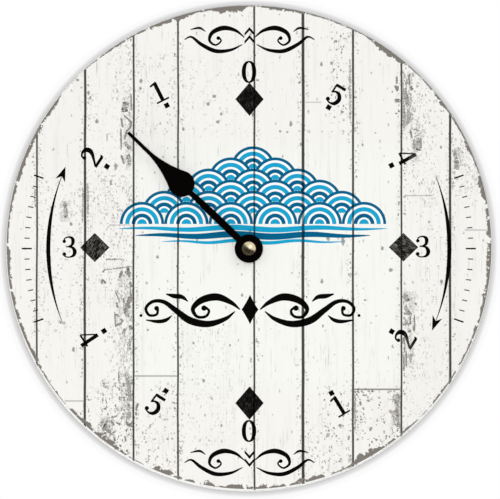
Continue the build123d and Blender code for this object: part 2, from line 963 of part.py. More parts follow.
def contact_base(side, run_end):
    """End plate, riser and strip of a contact, at one end of the cell bay."""
    outer = side * inner_half
    inner = side * (inner_half - contact_thickness)
    left, right = sorted([outer, inner])
    block(
        (left, cell_height - contact_width / 2),
        (right, cell_height + contact_width / 2),
        cell_depth - contact_depth / 2,
        cell_depth + contact_depth / 2,
    )
    block(
        (left, cell_height + contact_width / 2),
        (right, chamber_low + circuit_low_margin + contact_strip),
        plate_back - contact_riser,
        plate_back,
    )
    strip_left, strip_right = sorted([outer, run_end])
    block(
        (strip_left, circuit_low),
        (strip_right, circuit_low + contact_strip),
        plate_back - contact_thickness,
        plate_back,
    )


# Positive contact, with a pad towards the cell's nub
with BuildPart() as positive_contact:
    contact_base(1, circuit_right)
    block(
        (cell_right + contact_gap, cell_height - contact_pad / 2),
        (inner_half - contact_thickness, cell_height + contact_pad / 2),
        cell_depth - contact_pad / 2,
        cell_depth + contact_pad / 2,
    )
finished(positive_contact, "positive_contact")

# Negative contact, with a bowed leaf towards the cell's base
with BuildPart() as negative_contact:
    contact_base(-1, circuit_left)
    leaf_root = -inner_half + contact_thickness
    leaf_crown = cell_left - contact_gap
    with BuildSketch(front(cell_depth - contact_pad / 2)):
        with BuildLine():
            ThreePointArc(
                (leaf_root, cell_height - contact_width / 2),
                (leaf_crown, cell_height),
                (leaf_root, cell_height + contact_width / 2),
            )
            ThreePointArc(
                (leaf_root, cell_height - contact_width / 2 + contact_thickness),
                (leaf_crown - contact_thickness, cell_height),
                (leaf_root, cell_height + contact_width / 2 - contact_thickness),
            )
            Line(
                (leaf_root, cell_height - contact_width / 2),
                (leaf_root, cell_height - contact_width / 2 + contact_thickness),
            )
            Line(
                (leaf_root, cell_height + contact_width / 2),
                (leaf_root, cell_height + contact_width / 2 - contact_thickness),
            )
        make_face()
    extrude(amount=contact_pad)
finished(negative_contact, "negative_contact")

# Circuit board on the back of the wheel plate
with BuildPart() as circuit_board:
    block(
        (circuit_left, circuit_low),
        (circuit_right, circuit_low + circuit_height),
        circuit_back,
        plate_back,
    )
    for screw_place in circuit_screw_places:
        disc(screw_place, screw_radius, circuit_back, plate_back, Mode.SUBTRACT)
finished(circuit_board, "circuit_board")

# Domed cover of resin over the chip
chip_place = (circuit_middle, circuit_low + circuit_height * chip_reach_share)
with BuildPart() as chip_cover:
    disc(chip_place, chip_radius, circuit_back - chip_height, circuit_back)
    fillet(chip_cover.edges().sort_by(Axis.Y)[-1], chip_height * chip_round_share)
finished(chip_cover, "chip_cover")

# Quartz crystal: a small steel can lying on the board
with BuildPart() as quartz_crystal:
    lying(
        (circuit_low + circuit_height * crystal_reach_share, circuit_back - crystal_radius),
        crystal_radius,
        circuit_left + crystal_inset,
        circuit_left + crystal_inset + crystal_length,
    )
finished(quartz_crystal, "quartz_crystal")

# Stator: a flat yoke with the rotor's hole and two arms up to the coil's core
with BuildPart() as stator:
    rotor_across, rotor_up = rotor_place
    arm_top = coil_height + core_width / 2
    with BuildSketch(front(stator_back)):
        with Locations((rotor_across, rotor_up)):
            Rectangle(2 * stator_half_width, 2 * stator_half_bar)
        for side in (-1, 1):
            arm_middle = rotor_across + side * (stator_half_width - stator_arm_width / 2)
            with Locations((arm_middle, (arm_top + rotor_up) / 2)):
                Rectangle(stator_arm_width, arm_top - rotor_up)
        with Locations(rotor_place):
            Circle(rotor_magnet_radius + stator_air_gap, mode=Mode.SUBTRACT)
            with PolarLocations(
                rotor_magnet_radius + stator_air_gap, stator_notch_count, stator_notch_direction
            ):
                Circle(stator_notch_radius, mode=Mode.SUBTRACT)
    extrude(amount=stator_thickness)
    for screw_place in motor_screw_places:
        disc(screw_place, screw_radius, stator_back, stator_back + stator_thickness, Mode.SUBTRACT)
finished(stator, "stator")

# Coil core: an iron strip across the stator's two arms
core_back = stator_back - core_thickness
core_middle = stator_back - core_thickness / 2
with BuildPart() as coil_core:
    block(
        (rotor_across - core_half_length, coil_height - core_width / 2),
        (rotor_across + core_half_length, coil_height + core_width / 2),
        core_back,
        stator_back,
    )
    for screw_place in motor_screw_places:
        disc(screw_place, screw_radius, core_back, stator_back, Mode.SUBTRACT)
finished(coil_core, "coil_core")

# Bobbin round the core, with a flange at each end
bobbin_left = rotor_across - bobbin_half_length
bobbin_right = rotor_across + bobbin_half_length
with BuildPart() as coil_bobbin:
    block(
        (bobbin_left, coil_height - core_width / 2 - bobbin_wall),
        (bobbin_right, coil_height + core_width / 2 + bobbin_wall),
        core_back - bobbin_wall,
        stator_back + bobbin_wall,
    )
    lying(
        (coil_height, core_middle),
        bobbin_flange_radius,
        bobbin_left,
        bobbin_left + bobbin_flange_thickness,
    )
    lying(
        (coil_height, core_middle),
        bobbin_flange_radius,
        bobbin_right - bobbin_flange_thickness,
        bobbin_right,
    )
    block(
        (bobbin_left, coil_height - core_width / 2),
        (bobbin_right, coil_height + core_width / 2),
        core_back,
        stator_back,
        Mode.SUBTRACT,
    )
finished(coil_bobbin, "coil_bobbin")

# Winding between the bobbin's flanges
with BuildPart() as coil_winding:
    lying(
        (coil_height, core_middle),
        winding_radius,
        bobbin_left + bobbin_flange_thickness,
        bobbin_right - bobbin_flange_thickness,
    )
    block(
        (bobbin_left, coil_height - core_width / 2 - bobbin_wall),
        (bobbin_right, coil_height + core_width / 2 + bobbin_wall),
        core_back - bobbin_wall,
        stator_back + bobbin_wall,
        Mode.SUBTRACT,
    )
finished(coil_winding, "coil_winding")


def screws(places, seat, end):
    """Slotted screws, heads towards the wall, in the open part block."""
    for screw_place in places:
        disc(screw_place, screw_head_radius, seat - screw_head_height, seat)
        disc(screw_place, screw_radius, seat, end)
        block(
            (screw_place[0] - screw_head_radius, screw_place[1] - screw_slot_width / 2),
            (screw_place[0] + screw_head_radius, screw_place[1] + screw_slot_width / 2),
            seat - screw_head_height,
            seat - screw_head_height + screw_slot_depth,
            Mode.SUBTRACT,
        )


# Screws of the motor, through core and stator into the plate
with BuildPart() as motor_screws:
    screws(motor_screw_places, core_back, plate_front)
finished(motor_screws, "motor_screws")

# Screws of the circuit board
with BuildPart() as board_screws:
    screws(circuit_screw_places, circuit_back, plate_front)
finished(board_screws, "board_screws")
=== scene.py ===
"""Looks of a wall clock for the tides: its printed dial, the marks on it, the hand and the works behind.

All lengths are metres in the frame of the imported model: +X to the right of the dial, +Z up and the wall
at Y zero, so that the dial faces -Y. Places on the dial are given in the photograph's 500 by 499 pixels,
and PhotoFrame turns them to metres.
"""

import logging
import math
from dataclasses import dataclass, field, replace
from enum import Enum

import bpy
import numpy as np
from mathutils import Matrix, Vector


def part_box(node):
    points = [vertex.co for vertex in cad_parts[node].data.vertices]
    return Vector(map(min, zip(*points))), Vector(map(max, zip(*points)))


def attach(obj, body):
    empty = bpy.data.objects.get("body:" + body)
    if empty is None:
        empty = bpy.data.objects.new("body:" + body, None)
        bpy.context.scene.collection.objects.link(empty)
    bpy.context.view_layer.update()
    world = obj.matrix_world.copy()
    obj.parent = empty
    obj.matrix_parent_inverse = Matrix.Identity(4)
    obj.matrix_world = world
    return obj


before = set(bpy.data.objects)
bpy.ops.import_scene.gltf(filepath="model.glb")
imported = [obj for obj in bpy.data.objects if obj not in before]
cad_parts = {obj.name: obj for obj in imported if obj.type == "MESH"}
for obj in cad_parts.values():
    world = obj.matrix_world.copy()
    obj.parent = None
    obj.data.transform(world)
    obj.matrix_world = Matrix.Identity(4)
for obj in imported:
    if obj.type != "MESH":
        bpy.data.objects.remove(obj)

Material = bpy.types.Material
Node = bpy.types.Node
NodeTree = bpy.types.NodeTree
Socket = bpy.types.NodeSocket
Value = Socket | float | tuple[float, ...]
Colour = tuple[float, float, float, float]
Place = tuple[float, float, float]
Curve = list[Place]

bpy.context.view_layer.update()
LOG = logging.getLogger("tide_clock")
WHITE: Colour = (1.0, 1.0, 1.0, 1.0)
PAPER_TOOTH = 5200.0


def ink(code: str) -> Colour:
    """Linear colour of a six-digit hexadecimal screen colour.

    Args:
        code: The colour as it looks on a screen, such as "1CA5D0".

    Returns:
        Red, green, blue and an alpha of one, in linear light.
    """
    shares = [int(code[i:i + 2], 16) / 255 for i in (0, 2, 4)]
    red, green, blue = (s / 12.92 if s <= 0.04045 else ((s + 0.055) / 1.055) ** 2.4 for s in shares)
    return (red, green, blue, 1.0)


@dataclass(frozen=True)
class PhotoFrame:
    """The photograph laid on the dial: its size in pixels, a pixel's length and the dial's middle pixel."""

    width: int = 500
    height: int = 499
    pixel: float = 0.000548
    middle_x: float = 248.8
    middle_y: float = 248.6

    def across(self, column: float) -> float:
        """Distance to the right of the dial's middle, in metres, of a column of pixels."""
        return (column - self.middle_x) * self.pixel

    def up(self, row: float) -> float:
        """Height over the dial's middle, in metres, of a row of pixels."""
        return (self.middle_y - row) * self.pixel

    def stand(self, shape: np.ndarray, centre: tuple[float, float], tilt: float = 0.0) -> np.ndarray:
        """Turns a shape about its own middle and puts it on the dial.

        A point (a, b) turned clockwise by the tilt t comes to (a cos t + b sin t, b cos t - a sin t), and
        then moves by the centre's place.

        Args:
            shape: Points right and up from the shape's middle, in pixels; the last axis holds the pair.
            centre: The middle's column and row in the photograph.
            tilt: Clockwise turn in degrees.

        Returns:
            The points right and up from the dial's middle, in metres.
        """
        angle = math.radians(tilt)
        turn = np.array([[math.cos(angle), -math.sin(angle)], [math.sin(angle), math.cos(angle)]])
        place = np.array([self.across(centre[0]), self.up(centre[1])])
        return np.asarray(shape, dtype=float) @ turn * self.pixel + place


PHOTO = PhotoFrame()


class NodeSheet:
    """A shader tree while it is written: adds nodes in rows and feeds their sockets."""

    ROW = 18
    STEP = (190.0, 240.0)

    def __init__(self, tree: NodeTree) -> None:
        """Starts on an empty tree."""
        self.tree = tree
        self.count = 0

    def add(self, kind: str, **settings: object) -> Node:
        """Adds one node and sets its options.

        Args:
            kind: The node's type name.
            **settings: Options of the node, by their names.

        Returns:
            The node.
        """
        node = self.tree.nodes.new(kind)
        for name, value in settings.items():
            setattr(node, name, value)
        row, column = divmod(self.count, self.ROW)
        node.location = (column * self.STEP[0], -row * self.STEP[1])
        self.count += 1
        return node

    def feed(self, socket: Socket, value: Value) -> None:
        """Links a socket to another, or sets its own value."""
        if isinstance(value, Socket):
            self.tree.links.new(value, socket)
        else:
            socket.default_value = value

    def wire(self, kind: str, *values: Value, **settings: object) -> Socket:
        """Adds one node, feeds its sockets in order and gives its first output.

        Args:
            kind: The node's type name.
            *values: What its sockets take, in order.
            **settings: Options of the node, by their names.

        Returns:
            The first output's socket.
        """
        node = self.add(kind, **settings)
        for socket, value in zip(node.inputs, values):
            self.feed(socket, value)
        return node.outputs[0]

    def math(self, operation: str, *values: Value, clamp: bool = False) -> Socket:
        """One Math node's result; the values are its sockets' in order."""
        return self.wire("ShaderNodeMath", *values, operation=operation, use_clamp=clamp)

    def times(self, first: Value, second: Value) -> Socket:
        """One value times another."""
        return self.math("MULTIPLY", first, second)

    def less(self, first: Value, second: Value) -> Socket:
        """One value less another."""
        return self.math("SUBTRACT", first, second)

    def larger(self, first: Value, second: Value) -> Socket:
        """The larger of two values."""
        return self.math("MAXIMUM", first, second)

    def scaled(self, value: Value, factor: Value, shift: Value) -> Socket:
        """A value times a factor, plus a shift."""
        return self.math("MULTIPLY_ADD", value, factor, shift)

    def square_sum(self, first: Socket, second: Socket) -> Socket:
        """The sum of two values' squares."""
        return self.scaled(first, first, self.times(second, second))

    def axes(self, vector: Value) -> tuple[Socket, Socket, Socket]:
        """A vector's X, Y and Z."""
        parts = self.add("ShaderNodeSeparateXYZ")
        self.feed(parts.inputs[0], vector)
        return parts.outputs["X"], parts.outputs["Y"], parts.outputs["Z"]

    def fade(self, value: Value, start: float, end: float, low: float = 0.0, high: float = 1.0) -> Socket:
        """A smooth change from low to high while the value goes from start to end."""
        node = self.add("ShaderNodeMapRange", interpolation_type="SMOOTHSTEP")
        for name, given in (
            ("Value", value), ("From Min", start), ("From Max", end), ("To Min", low), ("To Max", high)
        ):
            self.feed(node.inputs[name], given)
        return node.outputs["Result"]

    def mix(self, share: Value, first: Value, second: Value, blend: str = "MIX") -> Socket:
        """Two colours blended.

        Args:
            share: How much of the second shows.
            first: The colour below.
            second: The colour above.
            blend: The blend's name.

        Returns:
            The blended colour's socket.
        """
        node = self.add("ShaderNodeMix", data_type="RGBA", blend_type=blend)
        self.feed(node.inputs[0], share)
        self.feed(node.inputs[6], first)
        self.feed(node.inputs[7], second)
        return node.outputs[2]

    def stretch(self, vector: Value, scale: tuple[float, float, float], shift: tuple = (0, 0, 0)) -> Socket:
        """A vector times a scale on each axis, plus a shift."""
        return self.wire("ShaderNodeVectorMath", vector, scale, shift, operation="MULTIPLY_ADD")

    def moved(self, vector: Value, step: Value) -> Socket:
        """The sum of two vectors."""
        return self.wire("ShaderNodeVectorMath", vector, step, operation="ADD")

    def texture(self, kind: str, **values: Value) -> Node:
        """Adds a texture node.

        Args:
            kind: The node's type name after "ShaderNodeTex".
            **values: What its sockets take, by their names; a feature is an option, not a socket.

        Returns:
            The node.
        """
        feature = values.pop("feature", None)
        node = self.add("ShaderNodeTex" + kind, **({"feature": feature} if feature else {}))
        for name, value in values.items():
            self.feed(node.inputs[name], value)
        return node

    def stir(self, vector: Value, scale: float, amount: float) -> Socket:
        """A vector moved about by noise, up to half the amount each way, which makes round marks uneven."""
        noise = self.texture("Noise", Vector=vector, Scale=scale, Detail=2.0)
        return self.moved(vector, self.stretch(noise.outputs["Color"], (amount,) * 3, (-amount / 2,) * 3))

    def noise(self, vector: Value, scale: float, detail: float = 2.0, rough: float = 0.5) -> Socket:
        """Smooth noise between zero and one, about one half on average."""
        node = self.texture("Noise", Vector=vector, Scale=scale, Detail=detail, Roughness=rough)
        return node.outputs["Fac"]

    def draws(self, cells: Node) -> tuple[Socket, Socket]:
        """Two random numbers for each cell of a lattice: its colour's red and green."""
        colour = self.add("ShaderNodeSeparateColor")
        self.feed(colour.inputs[0], cells.outputs["Color"])
        return colour.outputs["Red"], colour.outputs["Green"]

    def spots(self, vector: Value, scale: float, radius: float, keep: float) -> Socket:
        """Scattered round spots: one in each cell of a loose lattice, some of them left out.

        Args:
            vector: Where the spots lie.
            scale: Cells in a unit of the vector.
            radius: A spot's radius as a share of a cell.
            keep: The share of the cells that keep their spot.

        Returns:
            A mask that is one inside the spots.
        """
        cells = self.texture("Voronoi", feature="F1", Vector=vector, Scale=scale)
        chance, size = self.draws(cells)
        near = self.less(cells.outputs["Distance"], self.times(size, radius))
        mask = self.fade(near, radius * 0.25, -radius * 0.1)
        return self.times(mask, self.math("LESS_THAN", chance, keep))


class GroupKind(Enum):
    """The shader node groups that several materials share."""

    PLANK_SEAMS = "plank_seams"
    WORN_PAINT = "worn_paint"
    FINE_GRAIN = "fine_grain"
    TURNED_RINGS = "turned_rings"
    BRUSHED_LINES = "brushed_lines"
    SETTLED_DUST = "settled_dust"


def new_group(kind: GroupKind, takes: dict[str, str], gives: dict[str, str]) -> tuple[NodeSheet, dict, dict]:
    """Starts a node group with named sockets.

    Args:
        kind: Which group it is.
        takes: Input names with their socket kinds: Float, Vector or Color.
        gives: Output names with their socket kinds.

    Returns:
        The sheet to write on, the inputs as sockets to read and the outputs as sockets to feed, by name.
    """
    tree = bpy.data.node_groups.new(kind.value, "ShaderNodeTree")
    for name, sort in takes.items():
        tree.interface.new_socket(name, in_out="INPUT", socket_type="NodeSocket" + sort)
    for name, sort in gives.items():
        tree.interface.new_socket(name, in_out="OUTPUT", socket_type="NodeSocket" + sort)
    sheet = NodeSheet(tree)
    entry = sheet.add("NodeGroupInput")
    leave = sheet.add("NodeGroupOutput")
    return sheet, {n: entry.outputs[n] for n in takes}, {n: leave.inputs[n] for n in gives}


@dataclass(frozen=True)
class DialSpot:
    """A point of the dial as sockets, all in pixels of the photograph but the turn.

    The point moves along its third axis from plank to plank, so that noise breaks at the seams. Beside is
    the distance to the nearest seam's edge and rim the distance inside the print's circle. The turn goes
    clockwise from the top, from zero to one.
    """

    sheet: NodeSheet
    point: Socket
    across: Socket
    down: Socket
    beside: Socket
    rim: Socket
    turn: Socket


@dataclass(frozen=True)
class SoftBox:
    """A box of the photograph with soft sides: its two columns, two rows and how strongly it counts."""

    left: float
    right: float
    top: float
    bottom: float
    strength: float = 1.0

    def mask(self, spot: DialSpot, soft: float) -> Socket:
        """The box's mask, which falls from its strength to zero over the soft width round the box.

        Args:
            spot: The point on the dial.
            soft: Width of the soft sides in pixels.

        Returns:
            The mask's socket.
        """
        sheet = spot.sheet
        wide = sheet.larger(sheet.less(self.left, spot.across), sheet.less(spot.across, self.right))
        tall = sheet.larger(sheet.less(self.top, spot.down), sheet.less(spot.down, self.bottom))
        return sheet.fade(sheet.larger(wide, tall), soft, 0.0, 0.0, self.strength)


@dataclass
class PlankPrint:
    """The print of whitewashed planks: where its seams, worn patches, chips and specks lie, in pixels.

    A seam is its middle column and width. A chip's depth at the rim stands behind its degrees clockwise
    from the top. A blot is its column and row, then its half width and half height.
    """

    seams: tuple[tuple[float, float], ...] = (
        (37.0, 1.8), (85.0, 2.4), (133.6, 1.9), (178.0, 1.8), (254.3, 1.9),
        (303.0, 2.9), (353.0, 2.1), (401.4, 1.8), (450.1, 2.4),
    )
    print_radius: float = 242.5
    print_shift: tuple[float, float] = (0.2, -1.1)
    butts: tuple[SoftBox, ...] = (
        SoftBox(306, 321, 102.0, 102.6, 0.35), SoftBox(135, 177, 375.6, 376.4, 0.55),
        SoftBox(65, 84, 400.6, 401.3, 0.45), SoftBox(354, 400, 388.9, 389.8, 0.75),
        SoftBox(405, 432, 195.3, 195.9, 0.4), SoftBox(465, 487, 229.7, 230.4, 0.4),
        SoftBox(110, 130, 224.7, 225.3, 0.3),
    )
    patches: tuple[SoftBox, ...] = (
        SoftBox(124, 131, 96, 168, 0.4), SoftBox(118, 131, 268, 345, 0.45),
        SoftBox(122, 131, 345, 425, 0.5), SoftBox(404, 414, 292, 366, 0.45),
        SoftBox(412, 420, 126, 160, 0.5), SoftBox(403, 410, 74, 124, 0.8), SoftBox(62, 70, 200, 220, 0.5),
        SoftBox(394, 400, 396, 430, 0.9), SoftBox(453, 461, 150, 166, 0.6),
        SoftBox(100, 112, 418, 440, 0.6),
    )
    busy: tuple[SoftBox, ...] = (
        SoftBox(355, 399, 392, 472, 0.9), SoftBox(326, 351, 392, 484, 0.9),
        SoftBox(304, 326, 430, 480, 0.5), SoftBox(103, 132, 384, 452, 1.0),
        SoftBox(140, 177, 415, 466, 0.7), SoftBox(160, 177, 388, 462, 0.8), SoftBox(182, 252, 62, 132, 0.3),
        SoftBox(334, 352, 30, 130, 0.85), SoftBox(86, 132, 176, 222, 0.6), SoftBox(404, 448, 340, 420, 0.3),
        SoftBox(452, 474, 140, 200, 0.5), SoftBox(404, 440, 76, 130, 0.6), SoftBox(40, 84, 180, 330, 0.45),
        SoftBox(86, 132, 90, 172, 0.3), SoftBox(428, 448, 180, 300, 0.4), SoftBox(140, 176, 60, 130, 0.4),
    )
    streaks: tuple[SoftBox, ...] = (
        SoftBox(100, 132, 180, 300, 0.6), SoftBox(103, 132, 384, 452, 0.95),
        SoftBox(116, 132, 20, 100, 0.5), SoftBox(112, 132, 330, 384, 0.6),
        SoftBox(404, 434, 124, 200, 0.55), SoftBox(404, 424, 300, 375, 0.5),
        SoftBox(404, 426, 76, 124, 0.6), SoftBox(452, 472, 144, 186, 0.7), SoftBox(184, 232, 330, 440, 0.3),
    )
    rim_depths: tuple[tuple[float, float], ...] = (
        (0, 1), (3, 1), (5, 2.8), (8, 2.4), (13, 2.2), (14, 1.2), (25, 1.2), (29, 0.8), (31, 3), (36, 5),
        (39.5, 3), (41, 0.6), (49, 1), (50, 2.2), (54, 2.2), (55, 1.2), (60, 1.6), (63.5, 1.2), (65.5, 3.4),
        (68, 1.4), (72, 1), (74, 3.6), (77, 3.4), (79, 1), (81, 2.6), (89, 2.8), (91, 3.8), (96, 3.4),
        (99, 1.6), (101, 4), (103, 1.8), (105, 2.4), (107, 0.8), (108, 0.8), (109, 4.6), (110.5, 1.5),
        (117, 2), (119, 1.2), (121, 2.6), (123, 1.2), (126, 2.2), (133, 1), (136.5, 1.2), (138, 2.8),
        (145, 2.2), (147, 3), (149, 6), (153, 5), (155, 1.4), (160, 1.5), (162, 3), (166, 3.6), (167.5, 5),
        (169, 2.4), (174, 3.2), (178, 3), (179.5, 1), (181, 4.2), (184, 4.2), (185, 1.4), (188, 1.8),
        (190, 4), (192, 2.2), (198, 2.2), (199, 4.6), (202.5, 4.4), (204, 0), (206, 1), (211, 1.6),
        (215, 5.2), (218, 4.8), (220, 2.4), (223, 3.6), (227, 2.8), (229, 0.8), (233, 1.8), (236, 1.2),
        (240, 2.4), (244, 3.2), (247, 1.8), (252, 2.4), (262, 1.6), (264, 3.2), (268, 2.8), (272, 1.2),
        (283, 1.6), (286, 2.8), (298, 2.6), (307, 2.2), (309, 0), (317, 0.4), (325, 1.4), (333, 1.4),
        (336, 2.4), (340, 2.6), (342, 4.4), (345, 3.8), (347, 1.4), (350, 1.6), (352, 2.8), (354, 5.4),
        (358, 5), (360, 1),
    )
    rim_depth_most: float = 8.0
    blots: tuple[tuple[float, float, float, float], ...] = (
        (141, 81, 2, 2.6), (140.3, 88.6, 1.5, 2.2), (97, 121, 2, 2.4), (88.5, 93, 1.6, 2.6),
        (90.4, 97.5, 1.2, 2), (115.6, 166.5, 2, 3.4), (77.6, 80, 1.9, 1.7), (214, 96, 2.2, 2),
        (208, 104, 1.8, 2.2), (218, 122, 2.4, 1.8), (157.5, 257, 1.6, 2.2), (197, 240.5, 1, 3.4),
        (107, 137, 0.8, 5), (328, 238, 2.4, 3.2), (343, 241, 2.2, 5), (391, 270, 2.4, 2.4),
        (280, 131.5, 1.4, 1.4), (287.4, 132, 1.6, 1.2), (291, 124, 1.8, 3.2), (71, 224, 1.8, 2.2),
        (441, 147, 1.2, 2), (375.5, 133, 1.2, 0.8), (331.5, 63, 1.6, 2.2), (331.5, 95, 1.2, 1.2),
        (148, 330, 1.4, 1.4), (230, 345, 1, 1.6), (365, 300, 1.6, 1), (429, 222, 1.2, 1.8),
    )
    butt_soft: float = 0.7
    busy_soft: float = 10.0
    streak_soft: float = 8.0
    patch_soft: float = 3.0
    clean_soft: float = 30.0
    wander: float = 1.6
    plank_apart: float = 37.0
    clean: SoftBox = SoftBox(150, 385, 165, 370)
    clean_ground: Colour = ink("F7F8F3")
    warm_ground: Colour = ink("F6F5F1")
    dull_ground: Colour = ink("F4F2EE")
    seam_colour: Colour = ink("2C2A26")
    speck_colour: Colour = ink("6A6762")
    blot_colour: Colour = ink("6F6C68")
    patch_colour: Colour = ink("77736D")
    chip_colour: Colour = ink("7F7A73")
    rim_white: Colour = ink("FAFAF9")
    groups: dict[GroupKind, NodeTree] = field(default_factory=dict)

    def seam_group(self) -> NodeTree:
        """Makes the group that gives a point's place on the dial and its distance to the seams.

        The column is the middle column plus X over a pixel's length, and the row is the middle row less Z
        over it. A seam's distance is that of the column, which wanders a little with the row, from the
        seam's own, less half the seam's width. The rim's distance is the print's radius less the distance
        from the print's middle, which lies a little off the dial's.

        Returns:
            The node group.
        """
        gives = ("Across", "Down", "Seam", "Beside", "Rim", "Turn")
        sheet, take, give = new_group(
            GroupKind.PLANK_SEAMS, {"Vector": "Vector"}, {name: "Float" for name in gives}
        )
        right, _back, up = sheet.axes(take["Vector"])
        across = sheet.scaled(right, 1 / PHOTO.pixel, PHOTO.middle_x)
        down = sheet.scaled(up, -1 / PHOTO.pixel, PHOTO.middle_y)
        wander = sheet.noise(sheet.stretch(take["Vector"], (0.1, 0, 1)), 18.0, 1.0)
        bent = sheet.math("ADD", across, sheet.scaled(wander, self.wander, -self.wander / 2))
        ragged = sheet.noise(sheet.stretch(take["Vector"], (1, 0, 0.5)), 900.0, 3.0, 0.7)
        fray = sheet.larger(sheet.scaled(ragged, 7.0, -4.1), 0.0)
        nearest: Value = 100.0
        for column, width in self.seams:
            apart = sheet.math("ABSOLUTE", sheet.less(bent, column))
            nearest = sheet.math("MINIMUM", nearest, sheet.less(apart, width / 2))
        sheet.feed(give["Seam"], sheet.fade(sheet.less(nearest, fray), 0.3, -0.3))
        sheet.feed(give["Beside"], nearest)
        sheet.feed(give["Across"], across)
        sheet.feed(give["Down"], down)
        east = sheet.less(across, PHOTO.middle_x + self.print_shift[0])
        south = sheet.less(down, PHOTO.middle_y + self.print_shift[1])
        reach = sheet.math("SQRT", sheet.square_sum(east, south))
        sheet.feed(give["Rim"], sheet.less(self.print_radius, reach))
        angle = sheet.math("ARCTAN2", sheet.times(east, -1.0), south)
        sheet.feed(give["Turn"], sheet.scaled(angle, 1 / math.tau, 0.5))
        return sheet.tree

    def paint_group(self) -> NodeTree:
        """Makes the group that paints the planks.

        From the bottom up: a ground whose tone differs from plank to plank, fine hairlines along the grain,
        loops of worn paint in the patches, scattered specks, rows of dots beside the seams, blots, the butt
        joints, the seams, and chips at the rim. Outside the print's circle the board's white shows.

        Returns:
            The node group.
        """
        sheet, take, give = new_group(
            GroupKind.WORN_PAINT,
            {"Vector": "Vector"},
            {"Colour": "Color", "Shade": "Color", "Wear": "Float", "Height": "Float", "Printed": "Float"},
        )
        seams = sheet.add("ShaderNodeGroup", node_tree=self.groups[GroupKind.PLANK_SEAMS])
        sheet.feed(seams.inputs["Vector"], take["Vector"])
        across, down = seams.outputs["Across"], seams.outputs["Down"]
        flat = sheet.wire("ShaderNodeCombineXYZ", across, down)
        number = self.plank_number(sheet, across)
        aside = sheet.wire("ShaderNodeCombineXYZ", 0.0, 0.0, sheet.times(number, self.plank_apart))
        point = sheet.moved(flat, aside)
        spot = DialSpot(sheet, point, across, down, *(seams.outputs[n] for n in ("Beside", "Rim", "Turn")))
        loose_across, loose_down, _plank = sheet.axes(sheet.stir(point, 0.09, 15.0))
        shaken = replace(spot, across=loose_across, down=loose_down)
        specks = self.specks(replace(shaken, point=sheet.stir(point, 0.6, 3.2)))
        marks = sheet.larger(self.grain(spot), specks)
        worn = self.worn(shaken)
        chips = self.chip_mask(spot)
        lines = sheet.larger(seams.outputs["Seam"], self.gather(spot, self.butts, self.butt_soft))
        tone = sheet.noise(sheet.stretch(point, (0.012, 0.004, 1)), 1.0, 3.0)
        ground = sheet.mix(sheet.fade(tone, 0.5, 0.72), self.warm_ground, self.dull_ground)
        ground = sheet.mix(self.clean.mask(spot, self.clean_soft), ground, self.clean_ground)
        colour = sheet.mix(marks, ground, self.speck_colour)
        colour = sheet.mix(worn, colour, self.patch_colour)
        colour = sheet.mix(self.blot_mask(spot), colour, self.blot_colour)
        colour = sheet.mix(sheet.times(lines, 0.96), colour, self.seam_colour)
        colour = sheet.mix(chips, colour, self.chip_colour)
        inside = sheet.fade(spot.rim, -0.3, 0.3)
        sheet.feed(give["Colour"], sheet.mix(inside, self.rim_white, colour))
        shade = sheet.mix(sheet.times(lines, 0.75), WHITE, self.seam_colour)
        sheet.feed(give["Shade"], sheet.mix(sheet.times(marks, 0.35), shade, self.speck_colour))
        sheet.feed(give["Wear"], worn)
        sheet.feed(give["Height"], sheet.less(1.0, sheet.larger(seams.outputs["Seam"], chips)))
        sheet.feed(give["Printed"], inside)
        return sheet.tree

    def plank_number(self, sheet: NodeSheet, across: Socket) -> Value:
        """The number of seams to the left of a point, so that the grain breaks at each seam."""
        number: Value = 0.0
        for column, _width in self.seams:
            number = sheet.math("ADD", number, sheet.math("GREATER_THAN", across, column))
        return number

    def gather(self, spot: DialSpot, boxes: tuple[SoftBox, ...], soft: float) -> Value:
        """The strongest of several boxes' masks at a point, with sides of the given softness."""
        total: Value = 0.0
        for box in boxes:
            total = spot.sheet.larger(total, box.mask(spot, soft))
        return total

    def grain(self, spot: DialSpot) -> Socket:
        """Hairlines along the grain: noise drawn out down the planks, kept only where it peaks."""
        sheet, point = spot.sheet, spot.point
        fine = sheet.noise(sheet.stretch(point, (0.75, 0.035, 1)), 1.0, 3.0, 0.6)
        broad = sheet.noise(sheet.stretch(point, (0.045, 0.012, 1), (9, 4, 0)), 1.0, 2.0)
        lines = sheet.fade(fine, 0.57, 0.72, 0.0, 0.5)
        soft = sheet.noise(sheet.stretch(point, (0.22, 0.010, 1), (3, 7, 0)), 1.0, 3.0)
        wash = sheet.fade(soft, 0.5, 0.8, 0.0, 0.10)
        return sheet.larger(sheet.times(lines, sheet.fade(broad, 0.44, 0.62)), wash)

